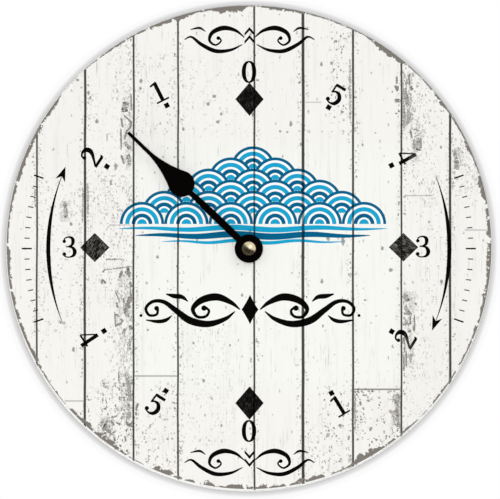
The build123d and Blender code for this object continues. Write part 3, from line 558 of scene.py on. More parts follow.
    def specks(self, spot: DialSpot) -> Socket:
        """Specks over the whole dial, dots in rows beside the seams, crowds in the busy boxes and streaks.

        Each kind is scattered spots drawn out down the planks. The rows keep to a strip beside a seam, and
        slow noise thins them and the crowds.

        Args:
            spot: The point on the dial.

        Returns:
            The specks' mask.
        """
        sheet, point = spot.sheet, spot.point
        sparse = sheet.times(sheet.spots(sheet.stretch(point, (1, 0.6, 1)), 0.10, 0.15, 0.36), 0.75)
        tiny = sheet.times(sheet.spots(sheet.stretch(point, (1, 0.5, 1)), 0.24, 0.21, 0.30), 0.5)
        row = sheet.spots(sheet.stretch(point, (1, 0.7, 1)), 0.50, 0.5, 0.6)
        strip = sheet.times(sheet.fade(spot.beside, 0.2, 1.0), sheet.fade(spot.beside, 6.5, 1.8))
        runs = sheet.noise(sheet.stretch(point, (0.05, 0.016, 1), (0, 0, 5)), 1.0, 2.0)
        row = sheet.times(row, sheet.times(strip, sheet.fade(runs, 0.40, 0.56)))
        crowd = sheet.spots(sheet.stretch(point, (1, 0.85, 1)), 0.42, 0.5, 0.6)
        patchy = sheet.noise(sheet.stretch(point, (0.14, 0.06, 1), (0, 0, 9)), 1.0, 2.0)
        busy = sheet.times(self.gather(spot, self.busy, self.busy_soft), sheet.fade(patchy, 0.34, 0.56))
        dash = sheet.spots(sheet.stretch(point, (1.2, 0.42, 1), (0, 0, 13)), 0.62, 0.46, 0.7)
        rubbed = self.gather(spot, self.streaks, self.streak_soft)
        crowd = sheet.larger(sheet.times(crowd, busy), sheet.times(dash, rubbed))
        both = sheet.larger(sheet.times(row, 0.85), sheet.times(crowd, 0.95))
        return sheet.larger(sheet.larger(sparse, tiny), both)

    def worn(self, spot: DialSpot) -> Socket:
        """Worn paint: broken loops and filled cells inside the patches.

        The loops lie on the borders of cells drawn out down the planks, and some cells are filled. A fine
        noise breaks them all into short dashes.

        Args:
            spot: The point on the dial.

        Returns:
            The mask of worn paint.
        """
        sheet = spot.sheet
        bent = sheet.stir(sheet.stretch(spot.point, (0.20, 0.11, 1)), 0.9, 0.9)
        borders = sheet.texture("Voronoi", feature="DISTANCE_TO_EDGE", Vector=bent, Scale=1.0)
        loops = sheet.fade(borders.outputs["Distance"], 0.15, 0.06)
        chance, _size = sheet.draws(sheet.texture("Voronoi", feature="F1", Vector=bent, Scale=1.0))
        filled = sheet.times(sheet.math("LESS_THAN", chance, 0.25), 0.7)
        filled = sheet.times(filled, sheet.fade(borders.outputs["Distance"], 0.06, 0.16))
        dashes = sheet.noise(sheet.stretch(spot.point, (0.5, 0.7, 1)), 1.0, 3.0, 0.7)
        broken = sheet.times(sheet.larger(loops, filled), sheet.fade(dashes, 0.42, 0.52))
        return sheet.times(broken, self.gather(spot, self.patches, self.patch_soft))

    def blot_mask(self, spot: DialSpot) -> Socket:
        """Single blots: soft ovals with edges roughened by noise.

        Args:
            spot: The point on the dial.

        Returns:
            The blots' mask.
        """
        sheet = spot.sheet
        rough = sheet.noise(spot.point, 0.55, 2.0, 0.7)
        total: Value = 9.0
        for column, row, wide, tall in self.blots:
            east = sheet.scaled(spot.across, 1 / wide, -column / wide)
            south = sheet.scaled(spot.down, 1 / tall, -row / tall)
            total = sheet.math("MINIMUM", total, sheet.square_sum(east, south))
        torn = sheet.scaled(rough, 2.4, sheet.less(total, 1.2))
        return sheet.fade(torn, 1.1, 0.3, 0.0, 0.75)

    def chip_mask(self, spot: DialSpot) -> Socket:
        """Chips in the paint along the rim: a ring whose depth follows a curve round the dial.

        Noise makes the depth uneven and breaks the ring, and low on the dial a sliver of paint stays at
        the very edge.

        Args:
            spot: The point on the dial.

        Returns:
            The chips' mask.
        """
        sheet = spot.sheet
        curve = sheet.add("ShaderNodeFloatCurve")
        line = curve.mapping.curves[0]
        first, *middle, last = self.rim_depths
        line.points[0].location = (0.0, first[1] / self.rim_depth_most)
        line.points[1].location = (1.0, last[1] / self.rim_depth_most)
        for angle, depth in middle:
            line.points.new(angle / 360, depth / self.rim_depth_most)
        for knot in line.points:
            knot.handle_type = "VECTOR"
        curve.mapping.update()
        sheet.feed(curve.inputs["Value"], spot.turn)
        flat = sheet.stretch(spot.point, (1, 1, 0))
        uneven = sheet.noise(flat, 0.16, 4.0, 0.65)
        swing = sheet.scaled(uneven, 3.3 * self.rim_depth_most, -0.35 * self.rim_depth_most)
        depth = sheet.times(curve.outputs[0], swing)
        gaps = sheet.noise(sheet.stretch(flat, (1, 1, 1), (60, 20, 0)), 0.13, 3.0, 0.6)
        depth = sheet.less(depth, sheet.fade(gaps, 0.46, 0.38, 0.0, 4.0))
        sliver = sheet.fade(spot.down, 300.0, 380.0, 0.0, 0.8)
        torn = sheet.fade(sheet.less(spot.rim, depth), 0.6, -0.2)
        return sheet.times(torn, sheet.fade(sheet.less(spot.rim, sliver), 0.0, 0.25))


def fine_grain_group() -> NodeTree:
    """Makes the group for moulded plastic and lacquer: an even fine grain and a slow change of tone."""
    sheet, take, give = new_group(
        GroupKind.FINE_GRAIN,
        {"Vector": "Vector", "Grain": "Float"},
        {"Height": "Float", "Tone": "Float"},
    )
    grain = sheet.texture("Noise", Vector=take["Vector"], Scale=take["Grain"], Detail=2.0)
    sheet.feed(give["Height"], grain.outputs["Fac"])
    slow = sheet.noise(take["Vector"], 140.0, 3.0, 0.6)
    sheet.feed(give["Tone"], sheet.fade(slow, 0.3, 0.7))
    return sheet.tree


def turned_rings_group() -> NodeTree:
    """Makes the group for turned metal: rings about an axis along Y, uneven from ring to ring."""
    sheet, take, give = new_group(
        GroupKind.TURNED_RINGS,
        {"Vector": "Vector", "Axis X": "Float", "Axis Z": "Float", "Rings": "Float"},
        {"Height": "Float", "Tone": "Float", "Radius": "Float"},
    )
    right, back, up = sheet.axes(take["Vector"])
    east, north = sheet.less(right, take["Axis X"]), sheet.less(up, take["Axis Z"])
    radius = sheet.math("SQRT", sheet.square_sum(east, north))
    sheet.feed(give["Radius"], radius)
    along = sheet.wire(
        "ShaderNodeCombineXYZ", sheet.times(radius, take["Rings"]), sheet.times(back, take["Rings"])
    )
    rings = sheet.noise(along, 1.0, 3.0, 0.7)
    sheet.feed(give["Height"], rings)
    slow = sheet.noise(take["Vector"], 420.0, 2.0)
    sheet.feed(give["Tone"], sheet.scaled(rings, 0.5, sheet.times(slow, 0.5)))
    return sheet.tree


def brushed_lines_group() -> NodeTree:
    """Makes the group for rolled and brushed sheet metal: noise drawn out along X, with a slow tone."""
    sheet, take, give = new_group(
        GroupKind.BRUSHED_LINES,
        {"Vector": "Vector", "Lines": "Float"},
        {"Height": "Float", "Tone": "Float"},
    )
    long = sheet.stretch(take["Vector"], (0.03, 1, 1))
    lines = sheet.texture("Noise", Vector=long, Scale=take["Lines"], Detail=3.0)
    sheet.feed(give["Height"], lines.outputs["Fac"])
    sheet.feed(give["Tone"], sheet.noise(take["Vector"], 260.0, 4.0, 0.6))
    return sheet.tree


def settled_dust_group() -> NodeTree:
    """Makes the group for dust that settles on what faces up: the normal's rise times a patchy noise."""
    sheet, take, give = new_group(
        GroupKind.SETTLED_DUST, {"Vector": "Vector", "Amount": "Float"}, {"Mask": "Float"}
    )
    _right, _back, up = sheet.axes(sheet.add("ShaderNodeNewGeometry").outputs["Normal"])
    patchy = sheet.fade(sheet.noise(take["Vector"], 900.0, 4.0, 0.7), 0.35, 0.75)
    mask = sheet.times(sheet.fade(up, 0.25, 0.95), patchy)
    sheet.feed(give["Mask"], sheet.times(mask, take["Amount"]))
    return sheet.tree


def blank_material(name: str) -> Material:
    """Makes a material with an empty node tree."""
    material = bpy.data.materials.new(name)
    material.use_nodes = True
    material.node_tree.nodes.clear()
    return material


class FinishSheet(NodeSheet):
    """A finish's sheet: its material, the Principled shader and the piece's Object coordinates."""

    def __init__(self, name: str, groups: dict[GroupKind, NodeTree]) -> None:
        """Starts a material with a plain Principled shader.

        Args:
            name: The material's name.
            groups: The shared node groups.
        """
        self.material = blank_material(name)
        super().__init__(self.material.node_tree)
        self.groups = groups
        output = self.add("ShaderNodeOutputMaterial")
        self.shader = self.add("ShaderNodeBsdfPrincipled")
        self.feed(output.inputs["Surface"], self.shader.outputs[0])
        self.place = self.add("ShaderNodeTexCoord").outputs["Object"]

    def use(self, kind: GroupKind, **values: Value) -> Node:
        """Puts a shared group on the sheet, on the piece's Object coordinates.

        Args:
            kind: Which group.
            **values: What its other inputs take, by their names.

        Returns:
            The group's node.
        """
        node = self.add("ShaderNodeGroup", node_tree=self.groups[kind])
        for name, value in {"Vector": self.place, **values}.items():
            self.feed(node.inputs[name], value)
        return node

    def relief(self, height: Socket, depth: float) -> None:
        """Feeds a height, as deep as given in metres, to the shader's normal."""
        bump = self.add("ShaderNodeBump")
        for name, value in (("Strength", 1.0), ("Distance", depth), ("Height", height)):
            self.feed(bump.inputs[name], value)
        self.feed(self.shader.inputs["Normal"], bump.outputs[0])

    def coat(self, **values: Value) -> Material:
        """Feeds the Principled shader.

        Args:
            **values: What its sockets take, by their names; an underscore stands for a space.

        Returns:
            The finished material.
        """
        for name, value in values.items():
            self.feed(self.shader.inputs[name.replace("_", " ")], value)
        return self.material


class Workshop:
    """Holds the node groups and keeps each finish's material, so that it is made once."""

    def __init__(self) -> None:
        """Makes the shared groups."""
        planks = PlankPrint()
        self.groups: dict[GroupKind, NodeTree] = planks.groups
        self.groups[GroupKind.PLANK_SEAMS] = planks.seam_group()
        self.groups[GroupKind.WORN_PAINT] = planks.paint_group()
        self.groups[GroupKind.FINE_GRAIN] = fine_grain_group()
        self.groups[GroupKind.TURNED_RINGS] = turned_rings_group()
        self.groups[GroupKind.BRUSHED_LINES] = brushed_lines_group()
        self.groups[GroupKind.SETTLED_DUST] = settled_dust_group()
        self.materials: dict[str, Material] = {}

    def material(self, finish: "Finish") -> Material:
        """The finish's material, made when it is first asked for."""
        if finish.name not in self.materials:
            self.materials[finish.name] = finish.make(FinishSheet(finish.name, self.groups))
        return self.materials[finish.name]


@dataclass(frozen=True)
class Finish:
    """What every finish has: a name for its material."""

    name: str

    def make(self, sheet: FinishSheet) -> Material:
        """Writes the finish on a sheet and gives its material; each finish has its own way."""
        raise NotImplementedError(self.name)


@dataclass(frozen=True)
class PrintedPlanks(Finish):
    """The dial's printed sheet: the planks' paint, matt, with a trace of the paper's tooth."""

    rough: float = 0.58
    gloss: float = 0.22
    depth: float = 0.000006

    def make(self, sheet: FinishSheet) -> Material:
        """Makes the material from the worn paint group."""
        paint = sheet.use(GroupKind.WORN_PAINT)
        tooth = sheet.noise(sheet.place, PAPER_TOOTH)
        sheet.relief(sheet.scaled(paint.outputs["Height"], 1.4, tooth), self.depth)
        rough = sheet.fade(tooth, 0.2, 0.8, self.rough - 0.06, self.rough + 0.06)
        return sheet.coat(Base_Color=paint.outputs["Colour"], Roughness=rough, Specular_IOR_Level=self.gloss)


@dataclass(frozen=True)
class BoardLacquer(Finish):
    """White satin lacquer on fibreboard: smooth in front, with the print at its edge, raw at the back."""

    front: float = -0.0226
    back: float = -0.01835
    grain: float = 1400.0
    depth: float = 0.00003
    spray: tuple[float, float] = (0.1372, 0.1322)
    white: Colour = ink("EDEDEB")
    whiter: Colour = ink("F3F3F1")
    fibre: Colour = ink("B08C62")
    fibre_dark: Colour = ink("8C6C48")
    fleck: Colour = ink("6E5233")

    def make(self, sheet: FinishSheet) -> Material:
        """Makes the material: print before one depth, raw fibreboard behind another, lacquer between."""
        paint = sheet.use(GroupKind.WORN_PAINT)
        grain = sheet.use(GroupKind.FINE_GRAIN, Grain=self.grain)
        right, back, up = sheet.axes(sheet.place)
        printed = sheet.times(sheet.math("LESS_THAN", back, self.front), paint.outputs["Printed"])
        white = sheet.mix(grain.outputs["Tone"], self.white, self.whiter)
        colour = sheet.mix(printed, white, paint.outputs["Colour"])
        fibres = sheet.noise(sheet.stretch(sheet.place, (1, 1, 0.35)), 900.0, 6.0, 0.75)
        flecks = sheet.spots(sheet.stretch(sheet.place, (1, 0, 0.5)), 420.0, 0.3, 0.3)
        raw = sheet.mix(sheet.fade(fibres, 0.3, 0.7), self.fibre_dark, self.fibre)
        raw = sheet.mix(sheet.times(flecks, 0.5), raw, self.fleck)
        cloud = sheet.noise(sheet.place, 90.0, 5.0, 0.6)
        reach = sheet.scaled(cloud, 0.009, sheet.math("SQRT", sheet.square_sum(right, up)))
        behind = sheet.math("GREATER_THAN", back, self.back)
        raw_mask = sheet.times(sheet.fade(reach, *self.spray), behind)
        height = sheet.scaled(raw_mask, fibres, sheet.times(grain.outputs["Height"], 0.3))
        sheet.relief(height, self.depth)
        rough = sheet.fade(raw_mask, 0.0, 1.0, 0.4, 0.8)
        colour = sheet.mix(raw_mask, colour, raw)
        return sheet.coat(Base_Color=colour, Roughness=rough, Specular_IOR_Level=0.35)


@dataclass(frozen=True)
class RubbedPaint(Finish):
    """Bare grey wood where the white paint is rubbed off: mottled, with holes where paint is left."""

    colour: Colour = ink("7B7771")
    pale: Colour = ink("A09C96")
    dense: float = 0.36

    def make(self, sheet: FinishSheet) -> Material:
        """Makes the material: one noise mottles the grey, and another opens the holes."""
        pixels = sheet.stretch(sheet.place, (1 / PHOTO.pixel, 0.0, 1 / PHOTO.pixel))
        mottle = sheet.noise(pixels, 0.7, 3.0, 0.7)
        colour = sheet.mix(sheet.fade(mottle, 0.38, 0.62), self.colour, self.pale)
        holes = sheet.noise(sheet.stretch(pixels, (0.8, 0.5, 0.6), (40, 0, 9)), 1.0, 3.0, 0.75)
        left = sheet.fade(holes, self.dense, self.dense + 0.1)
        rough = sheet.fade(mottle, 0.3, 0.7, 0.55, 0.66)
        return sheet.coat(Base_Color=colour, Alpha=left, Roughness=rough, Specular_IOR_Level=0.2)


@dataclass(frozen=True)
class PrintInk(Finish):
    """Ink printed over the planks, through which their seams and grain still show."""

    colour: Colour = (0.0, 0.0, 0.0, 1.0)
    brushed: float = 0.0
    brush_turn: float = 0.0
    brush_colour: Colour = ink("B4B1AC")
    worn_colour: Colour = ink("8B867F")
    wear: float = 0.4
    gloss: float = 0.02
    depth: float = 0.000004

    def make(self, sheet: FinishSheet) -> Material:
        """Makes the material: the ink and its brush streaks, times the planks' shade, worn as they are."""
        paint = sheet.use(GroupKind.WORN_PAINT)
        turned = sheet.add("ShaderNodeVectorRotate", rotation_type="Y_AXIS")
        sheet.feed(turned.inputs["Vector"], sheet.place)
        sheet.feed(turned.inputs["Angle"], math.radians(self.brush_turn))
        streaks = sheet.noise(sheet.stretch(turned.outputs[0], (1, 0, 0.14)), 2300.0, 4.0, 0.8)
        clumps = sheet.fade(sheet.noise(sheet.place, 260.0), 0.3, 0.62, 0.25, 1.0)
        mask = sheet.times(sheet.fade(streaks, 0.48, 0.62, 0.0, self.brushed), clumps)
        colour = sheet.mix(mask, self.colour, self.brush_colour)
        colour = sheet.mix(sheet.times(paint.outputs["Wear"], self.wear), colour, self.worn_colour)
        colour = sheet.mix(1.0, colour, paint.outputs["Shade"], "MULTIPLY")
        tooth = sheet.noise(sheet.place, PAPER_TOOTH)
        sheet.relief(tooth, self.depth)
        rough = sheet.fade(tooth, 0.2, 0.8, 0.5, 0.62)
        return sheet.coat(Base_Color=colour, Roughness=rough, Specular_IOR_Level=self.gloss)


@dataclass(frozen=True)
class HandPaint(Finish):
    """Black satin paint on stamped sheet: near black, warm, with faint orange peel."""

    colour: Colour = ink("040202")
    worn: Colour = ink("0C0504")
    grain: float = 2600.0
    depth: float = 0.000008
    gloss: float = 0.015

    def make(self, sheet: FinishSheet) -> Material:
        """Makes the material from the fine grain group."""
        grain = sheet.use(GroupKind.FINE_GRAIN, Grain=self.grain)
        colour = sheet.mix(sheet.times(grain.outputs["Tone"], 0.25), self.colour, self.worn)
        rough = sheet.fade(grain.outputs["Tone"], 0.0, 1.0, 0.36, 0.46)
        sheet.relief(grain.outputs["Height"], self.depth)
        return sheet.coat(Base_Color=colour, Roughness=rough, Specular_IOR_Level=self.gloss)


@dataclass(frozen=True)
class TurnedBrass(Finish):
    """Turned brass with the tool's fine rings about its axis."""

    colour: Colour = ink("D2AE62")
    tarnish: Colour = ink("A9803C")
    rings: float = 9000.0
    rough: float = 0.26
    depth: float = 0.000006
    lean: float = 0.0

    def make(self, sheet: FinishSheet) -> Material:
        """Makes the material from the turned rings group.

        The relief is the rings' depth plus the lean times the distance from the axis, so that a cone
        shines as if it were that much flatter.

        Args:
            sheet: The finish's sheet.

        Returns:
            The material.
        """
        turned = sheet.use(GroupKind.TURNED_RINGS, Rings=self.rings)
        tone = sheet.fade(turned.outputs["Tone"], 0.35, 0.65)
        leaned = sheet.times(turned.outputs["Radius"], self.lean)
        sheet.relief(sheet.scaled(turned.outputs["Height"], self.depth, leaned), 1.0)
        colour = sheet.mix(tone, self.tarnish, self.colour)
        rough = sheet.fade(tone, 0.0, 1.0, self.rough + 0.08, self.rough - 0.04)
        return sheet.coat(Base_Color=colour, Roughness=rough, Metallic=1.0)


@dataclass(frozen=True)
class PlatedSteel(Finish):
    """Plated or rolled steel sheet with faint lines along it."""

    colour: Colour = ink("CFD0D1")
    shade: Colour = ink("A2A3A6")
    lines: float = 5200.0
    rough: float = 0.28
    depth: float = 0.000005

    def make(self, sheet: FinishSheet) -> Material:
        """Makes the material from the brushed lines group."""
        brushed = sheet.use(GroupKind.BRUSHED_LINES, Lines=self.lines)
        colour = sheet.mix(sheet.fade(brushed.outputs["Tone"], 0.3, 0.7), self.shade, self.colour)
        rough = sheet.fade(brushed.outputs["Height"], 0.3, 0.7, self.rough - 0.05, self.rough + 0.12)
        sheet.relief(brushed.outputs["Height"], self.depth)
        return sheet.coat(Base_Color=colour, Roughness=rough, Metallic=1.0)


@dataclass(frozen=True)
class MouldedPlastic(Finish):
    """Injection moulded plastic with a spark-eroded grain and, on what stays still, settled dust."""

    colour: Colour = ink("232325")
    light: Colour = ink("2E2E31")
    grain: float = 5200.0
    depth: float = 0.00002
    rough: float = 0.5
    dust: float = 0.0
    dust_colour: Colour = ink("A09C94")

    def make(self, sheet: FinishSheet) -> Material:
        """Makes the material from the fine grain and settled dust groups."""
        grain = sheet.use(GroupKind.FINE_GRAIN, Grain=self.grain)
        colour = sheet.mix(grain.outputs["Tone"], self.colour, self.light)
        if self.dust:
            dust = sheet.use(GroupKind.SETTLED_DUST, Amount=self.dust)
            colour = sheet.mix(dust.outputs["Mask"], colour, self.dust_colour)
        rough = sheet.fade(grain.outputs["Height"], 0.3, 0.7, self.rough - 0.05, self.rough + 0.08)
        sheet.relief(grain.outputs["Height"], self.depth)
        return sheet.coat(Base_Color=colour, Roughness=rough, Specular_IOR_Level=0.4)


@dataclass(frozen=True)
class SinteredBlock(Finish):
    """Matt pressed or cured stuff, such as a magnet, rubber or packed powder: speckled, a little pitted."""

    colour: Colour = ink("3A3A3D")
    speck: Colour = ink("5A5A5E")
    rough: float = 0.62
    pits: float = 3800.0
    metal: float = 0.0
    depth: float = 0.00001

    def make(self, sheet: FinishSheet) -> Material:
        """Makes the material from spots and the fine grain group."""
        grain = sheet.use(GroupKind.FINE_GRAIN, Grain=self.pits)
        specks = sheet.spots(sheet.place, self.pits * 0.4, 0.3, 0.4)
        mask = sheet.scaled(specks, 0.6, sheet.times(grain.outputs["Tone"], 0.25))
        colour = sheet.mix(mask, self.colour, self.speck)
        rough = sheet.fade(specks, 0.0, 1.0, self.rough, self.rough - 0.12)
        sheet.relief(sheet.less(grain.outputs["Height"], specks), self.depth)
        return sheet.coat(
            Base_Color=colour, Roughness=rough, Metallic=self.metal, Specular_IOR_Level=0.35
        )


@dataclass(frozen=True)
class StampedSheets(Finish):
    """Soft steel stamped from thin sheets: dull, with the sheets' edges as lines across the thickness."""

    colour: Colour = ink("8E8F92")
    shade: Colour = ink("6A6B6E")
    lines: float = 3600.0
    sheet_thickness: float = 0.00035
    depth: float = 0.00002

    def make(self, sheet: FinishSheet) -> Material:
        """Makes the material: ripples along Y on the edges over the brushed lines group."""
        brushed = sheet.use(GroupKind.BRUSHED_LINES, Lines=self.lines)
        _right, back, _up = sheet.axes(sheet.place)
        turns = sheet.times(back, math.tau / self.sheet_thickness)
        edges = sheet.fade(sheet.math("SINE", turns), -1.0, -0.6)
        tone = sheet.times(sheet.fade(brushed.outputs["Tone"], 0.3, 0.7), edges)
        colour = sheet.mix(tone, self.shade, self.colour)
        rough = sheet.fade(brushed.outputs["Height"], 0.3, 0.7, 0.38, 0.55)
        sheet.relief(sheet.scaled(brushed.outputs["Height"], 0.3, edges), self.depth)
        return sheet.coat(Base_Color=colour, Roughness=rough, Metallic=0.9)


@dataclass(frozen=True)
class WoundCopper(Finish):
    """Enamelled copper wire wound turn by turn: a round rib for each turn along X, with painted shade in the
    grooves between the turns.
    """

    colour: Colour = ink("B8652C")
    shade: Colour = ink("6E3312")
    wire: float = 0.00025
    depth: float = 0.00008

    def make(self, sheet: FinishSheet) -> Material:
        """Makes the material: the rib's height is the sine's size along X, and the same mask paints shade
        into the grooves.
        """
        right, _back, _up = sheet.axes(sheet.place)
        wobble = sheet.noise(sheet.place, 500.0)
        turns = sheet.scaled(wobble, 2.0, sheet.times(right, math.pi / self.wire))
        rib_and_groove_shade = sheet.math("ABSOLUTE", sheet.math("SINE", turns))
        # Painted shade: the colour falls to the shade colour in the grooves between the turns.
        colour = sheet.mix(rib_and_groove_shade, self.shade, self.colour)
        rough = sheet.fade(wobble, 0.2, 0.8, 0.2, 0.34)
        sheet.relief(rib_and_groove_shade, self.depth)
        return sheet.coat(Base_Color=colour, Roughness=rough, Metallic=0.85)


@dataclass(frozen=True)
class CircuitLaminate(Finish):
    """Green solder mask over copper tracks, with a weave of glass showing faintly."""

    mask: Colour = ink("1F6B3E")
    track: Colour = ink("3B8F57")
    pad: Colour = ink("B9BABC")
    weave: Colour = ink("16502C")
    track_step: float = 0.0004
    depth: float = 0.00002

    def make(self, sheet: FinishSheet) -> Material:
        """Makes the material: tracks lie where a stepped noise crosses one half, pads in loose cells."""
        steps = (self.track_step,) * 3
        cells = sheet.wire("ShaderNodeVectorMath", sheet.place, steps, operation="SNAP")
        course = sheet.noise(cells, 330.0, 1.0)
        tracks = sheet.fade(sheet.math("ABSOLUTE", sheet.less(course, 0.5)), 0.055, 0.035)
        pads = sheet.spots(sheet.stretch(sheet.place, (1, 0, 1)), 380.0, 0.5, 0.22)
        weave = sheet.noise(sheet.stretch(sheet.place, (1, 0.2, 1)), 2600.0)
        colour = sheet.mix(tracks, self.mask, self.track)
        colour = sheet.mix(sheet.fade(weave, 0.4, 0.8, 0.0, 0.25), colour, self.weave)
        colour = sheet.mix(pads, colour, self.pad)
        rough = sheet.fade(pads, 0.0, 1.0, 0.3, 0.22)
        sheet.relief(sheet.scaled(tracks, 0.7, sheet.math("ADD", pads, weave)), self.depth)
        return sheet.coat(Base_Color=colour, Roughness=rough, Metallic=sheet.times(pads, 0.9))


@dataclass(frozen=True)
class ShrunkSleeve(Finish):
    """Shrunk film round the cell: a dark blue body, a pale band at the nub's end and a thin line between."""

    low_end: float = 0.0
    high_end: float = 1.0
    body: Colour = ink("1D3F66")
    body_light: Colour = ink("234A77")
    band: Colour = ink("C9CDD2")
    line: Colour = ink("E6B93C")
    scuff: Colour = ink("9FA6AD")
    band_start: float = 0.74
    line_share: float = 0.72
    line_half: float = 0.012
    depth: float = 0.00003

    def make(self, sheet: FinishSheet) -> Material:
        """Makes the material: bands along X measured from the sleeve's ends."""
        right, _back, _up = sheet.axes(sheet.place)
        length = self.high_end - self.low_end
        share = sheet.scaled(right, 1 / length, -self.low_end / length)
        wobble = sheet.noise(sheet.place, 260.0, 3.0)
        band = sheet.math("GREATER_THAN", share, self.band_start)
        apart = sheet.math("ABSOLUTE", sheet.less(share, self.line_share))
        colour = sheet.mix(sheet.fade(wobble, 0.3, 0.7), self.body, self.body_light)
        colour = sheet.mix(band, colour, self.band)
        colour = sheet.mix(sheet.math("LESS_THAN", apart, self.line_half), colour, self.line)
        scuffs = sheet.noise(sheet.stretch(sheet.place, (0.2, 1, 1)), 3200.0, 4.0, 0.8)
        colour = sheet.mix(sheet.fade(scuffs, 0.62, 0.75, 0.0, 0.4), colour, self.scuff)
        sheet.relief(wobble, self.depth)
        return sheet.coat(Base_Color=colour, Roughness=sheet.fade(scuffs, 0.4, 0.75, 0.2, 0.4))


@dataclass
class PlateStack:
    """Thin closed plates on the print, gathered to become one mesh."""

    base: float
    thickness: float = 0.00003
    layer_rise: float = 0.000004
    layers: int = 6
    vertices: list[np.ndarray] = field(default_factory=list)
    faces: list[tuple[int, ...]] = field(default_factory=list)
    count: int = 0
    total: int = 0

    def lift(self, flat: np.ndarray) -> np.ndarray:
        """Front and back copies of points on the dial.

        The front copy stands off the print by the thickness, and a little more from plate to plate, so that
        plates that cross never share a face. The back copy lies as deep in the print as a layer's rise.

        Args:
            flat: Points right and up from the dial's middle.

        Returns:
            The front copies, then the back copies, as places in space.
        """
        rise = self.thickness + self.layer_rise * (self.count % self.layers)
        self.count += 1
        depths = np.repeat([-(self.base + rise), -(self.base - self.layer_rise)], len(flat))
        twice = np.concatenate([flat, flat])
        return np.column_stack([twice[:, 0], depths, twice[:, 1]])

    def keep(self, vertices: np.ndarray, faces: list[list[int]]) -> None:
        """Adds vertices and the faces that count from them."""
        self.vertices.append(vertices)
        self.faces.extend(tuple(v + self.total for v in face) for face in faces)
        self.total += len(vertices)

    def grid(self, points: np.ndarray, wrap: bool = False) -> None:
        """Adds a plate over a grid of points.

        Every cell of the grid becomes a face in front and one behind, and a wall runs round the border.

        Args:
            points: Places on the dial; the first axis goes from the right side to the left, seen along
                the second.
            wrap: Whether the second axis closes on itself.
        """
        rows, columns = points.shape[:2]
        number = np.arange(rows * columns).reshape(rows, columns)
        if wrap:
            number = np.concatenate([number, number[:, :1]], axis=1)
        behind = rows * columns
        cells = np.stack([number[:-1, :-1], number[:-1, 1:], number[1:, 1:], number[1:, :-1]], axis=-1)
        cells = cells.reshape(-1, 4)
        edges = [
            np.column_stack([number[0, 1:], number[0, :-1]]),
            np.column_stack([number[-1, :-1], number[-1, 1:]]),
        ]
        if not wrap:
            edges.append(np.column_stack([number[:-1, 0], number[1:, 0]]))
            edges.append(np.column_stack([number[1:, -1], number[:-1, -1]]))
        edge = np.concatenate(edges)
        walls = np.column_stack([edge, edge[:, ::-1] + behind])
        faces = np.concatenate([cells, cells[:, ::-1] + behind, walls])
        self.keep(self.lift(points.reshape(-1, 2)), faces.tolist())

    def outline(self, points: np.ndarray) -> None:
        """Adds a plate inside an outline whose points go round counterclockwise."""
        size = len(points)
        number = np.arange(size)
        after = np.roll(number, -1)
        walls = np.column_stack([after, number, number + size, after + size])
        faces = [number.tolist(), (number[::-1] + size).tolist(), *walls.tolist()]
        self.keep(self.lift(points), faces)


def curve_through(points: Curve | np.ndarray, steps: int, closed: bool = False) -> np.ndarray:
    """A smooth curve through given points.

    Between two points the curve is the cubic whose slope at each is half the step between the points
    beside it.

    Args:
        points: The points, each with as many values as needed.
        steps: Steps from one point to the next.
        closed: Whether the last point joins the first.

    Returns:
        The curve's points, as an array.
    """
    given = np.asarray(points, dtype=float)
    if closed:
        padded = np.concatenate([given[-1:], given, given[:2]])
    else:
        padded = np.concatenate([2 * given[:1] - given[1:2], given, 2 * given[-1:] - given[-2:-1]])
    share = np.linspace(0, 1, steps, endpoint=False)
    powers = np.stack([share**0, share, share**2, share**3])
    cubic = np.array([[0, 2, 0, 0], [-1, 0, 1, 0], [2, -5, 4, -1], [-1, 3, -3, 1]]) / 2
    windows = np.stack([padded[i:len(padded) - 3 + i] for i in range(4)])
    curve = np.einsum("ps,pw,wnk->nsk", powers, cubic, windows).reshape(-1, given.shape[1])
    return curve if closed else np.concatenate([curve, given[-1:]])


def ribbon(line: np.ndarray, closed: bool = False) -> np.ndarray:
    """The two edges of a stroke of changing width.

    Each edge stands off the middle line by the half width, along the line's normal, which is the line's
    direction turned a quarter left.

    Args:
        line: The middle line's points, each right, up and half width.
        closed: Whether the line closes on itself.

    Returns:
        A grid of two rows: the right edge, then the left edge.
    """
    middle = line[:, :2]
    if closed:
        ahead = np.roll(middle, -1, axis=0) - np.roll(middle, 1, axis=0)
    else:
        ahead = np.gradient(middle, axis=0)
    ahead /= np.linalg.norm(ahead, axis=1, keepdims=True)
    normal = np.column_stack([-ahead[:, 1], ahead[:, 0]])
    offset = normal * line[:, 2:3]
    return np.stack([middle - offset, middle + offset])


def round_outline(radius: float, at: tuple[float, float] = (0.0, 0.0), sides: int = 28) -> np.ndarray:
    """A circle's points: the centre plus the radius times the cosine and sine of an even turn."""
    turn = np.linspace(0, math.tau, sides, endpoint=False)
    return np.column_stack([at[0] + radius * np.cos(turn), at[1] + radius * np.sin(turn)])


def mirror(points: np.ndarray) -> np.ndarray:
    """A stroke's points mirrored left to right, in the same order."""
    return np.asarray(points, dtype=float) * np.array([-1.0, 1.0, 1.0])


def dress(node: str, finish: Finish, shop: Workshop) -> None:
    """Gives a CAD node its material and reports it."""
    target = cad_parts[node].data
    target.materials.clear()
    target.materials.append(shop.material(finish))
    LOG.info("dressed %s with %s", node, finish.name)


def make_piece(name: str, stack: PlateStack, finish: Finish, shop: Workshop) -> None:
    """Turns a stack of plates into a piece that rides on the clock's body.

    Args:
        name: The piece's name.
        stack: Its plates.
        finish: Its finish.
        shop: The workshop that makes the material.
    """
    mesh = bpy.data.meshes.new(name)
    mesh.from_pydata(np.concatenate(stack.vertices).tolist(), [], stack.faces)
    mesh.materials.append(shop.material(finish))
    mesh.update()
    piece = bpy.data.objects.new(name, mesh)
    bpy.context.scene.collection.objects.link(piece)
    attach(piece, "clock_body")
    LOG.info("made %s: %d plates, %d faces", name, stack.count, len(mesh.polygons))


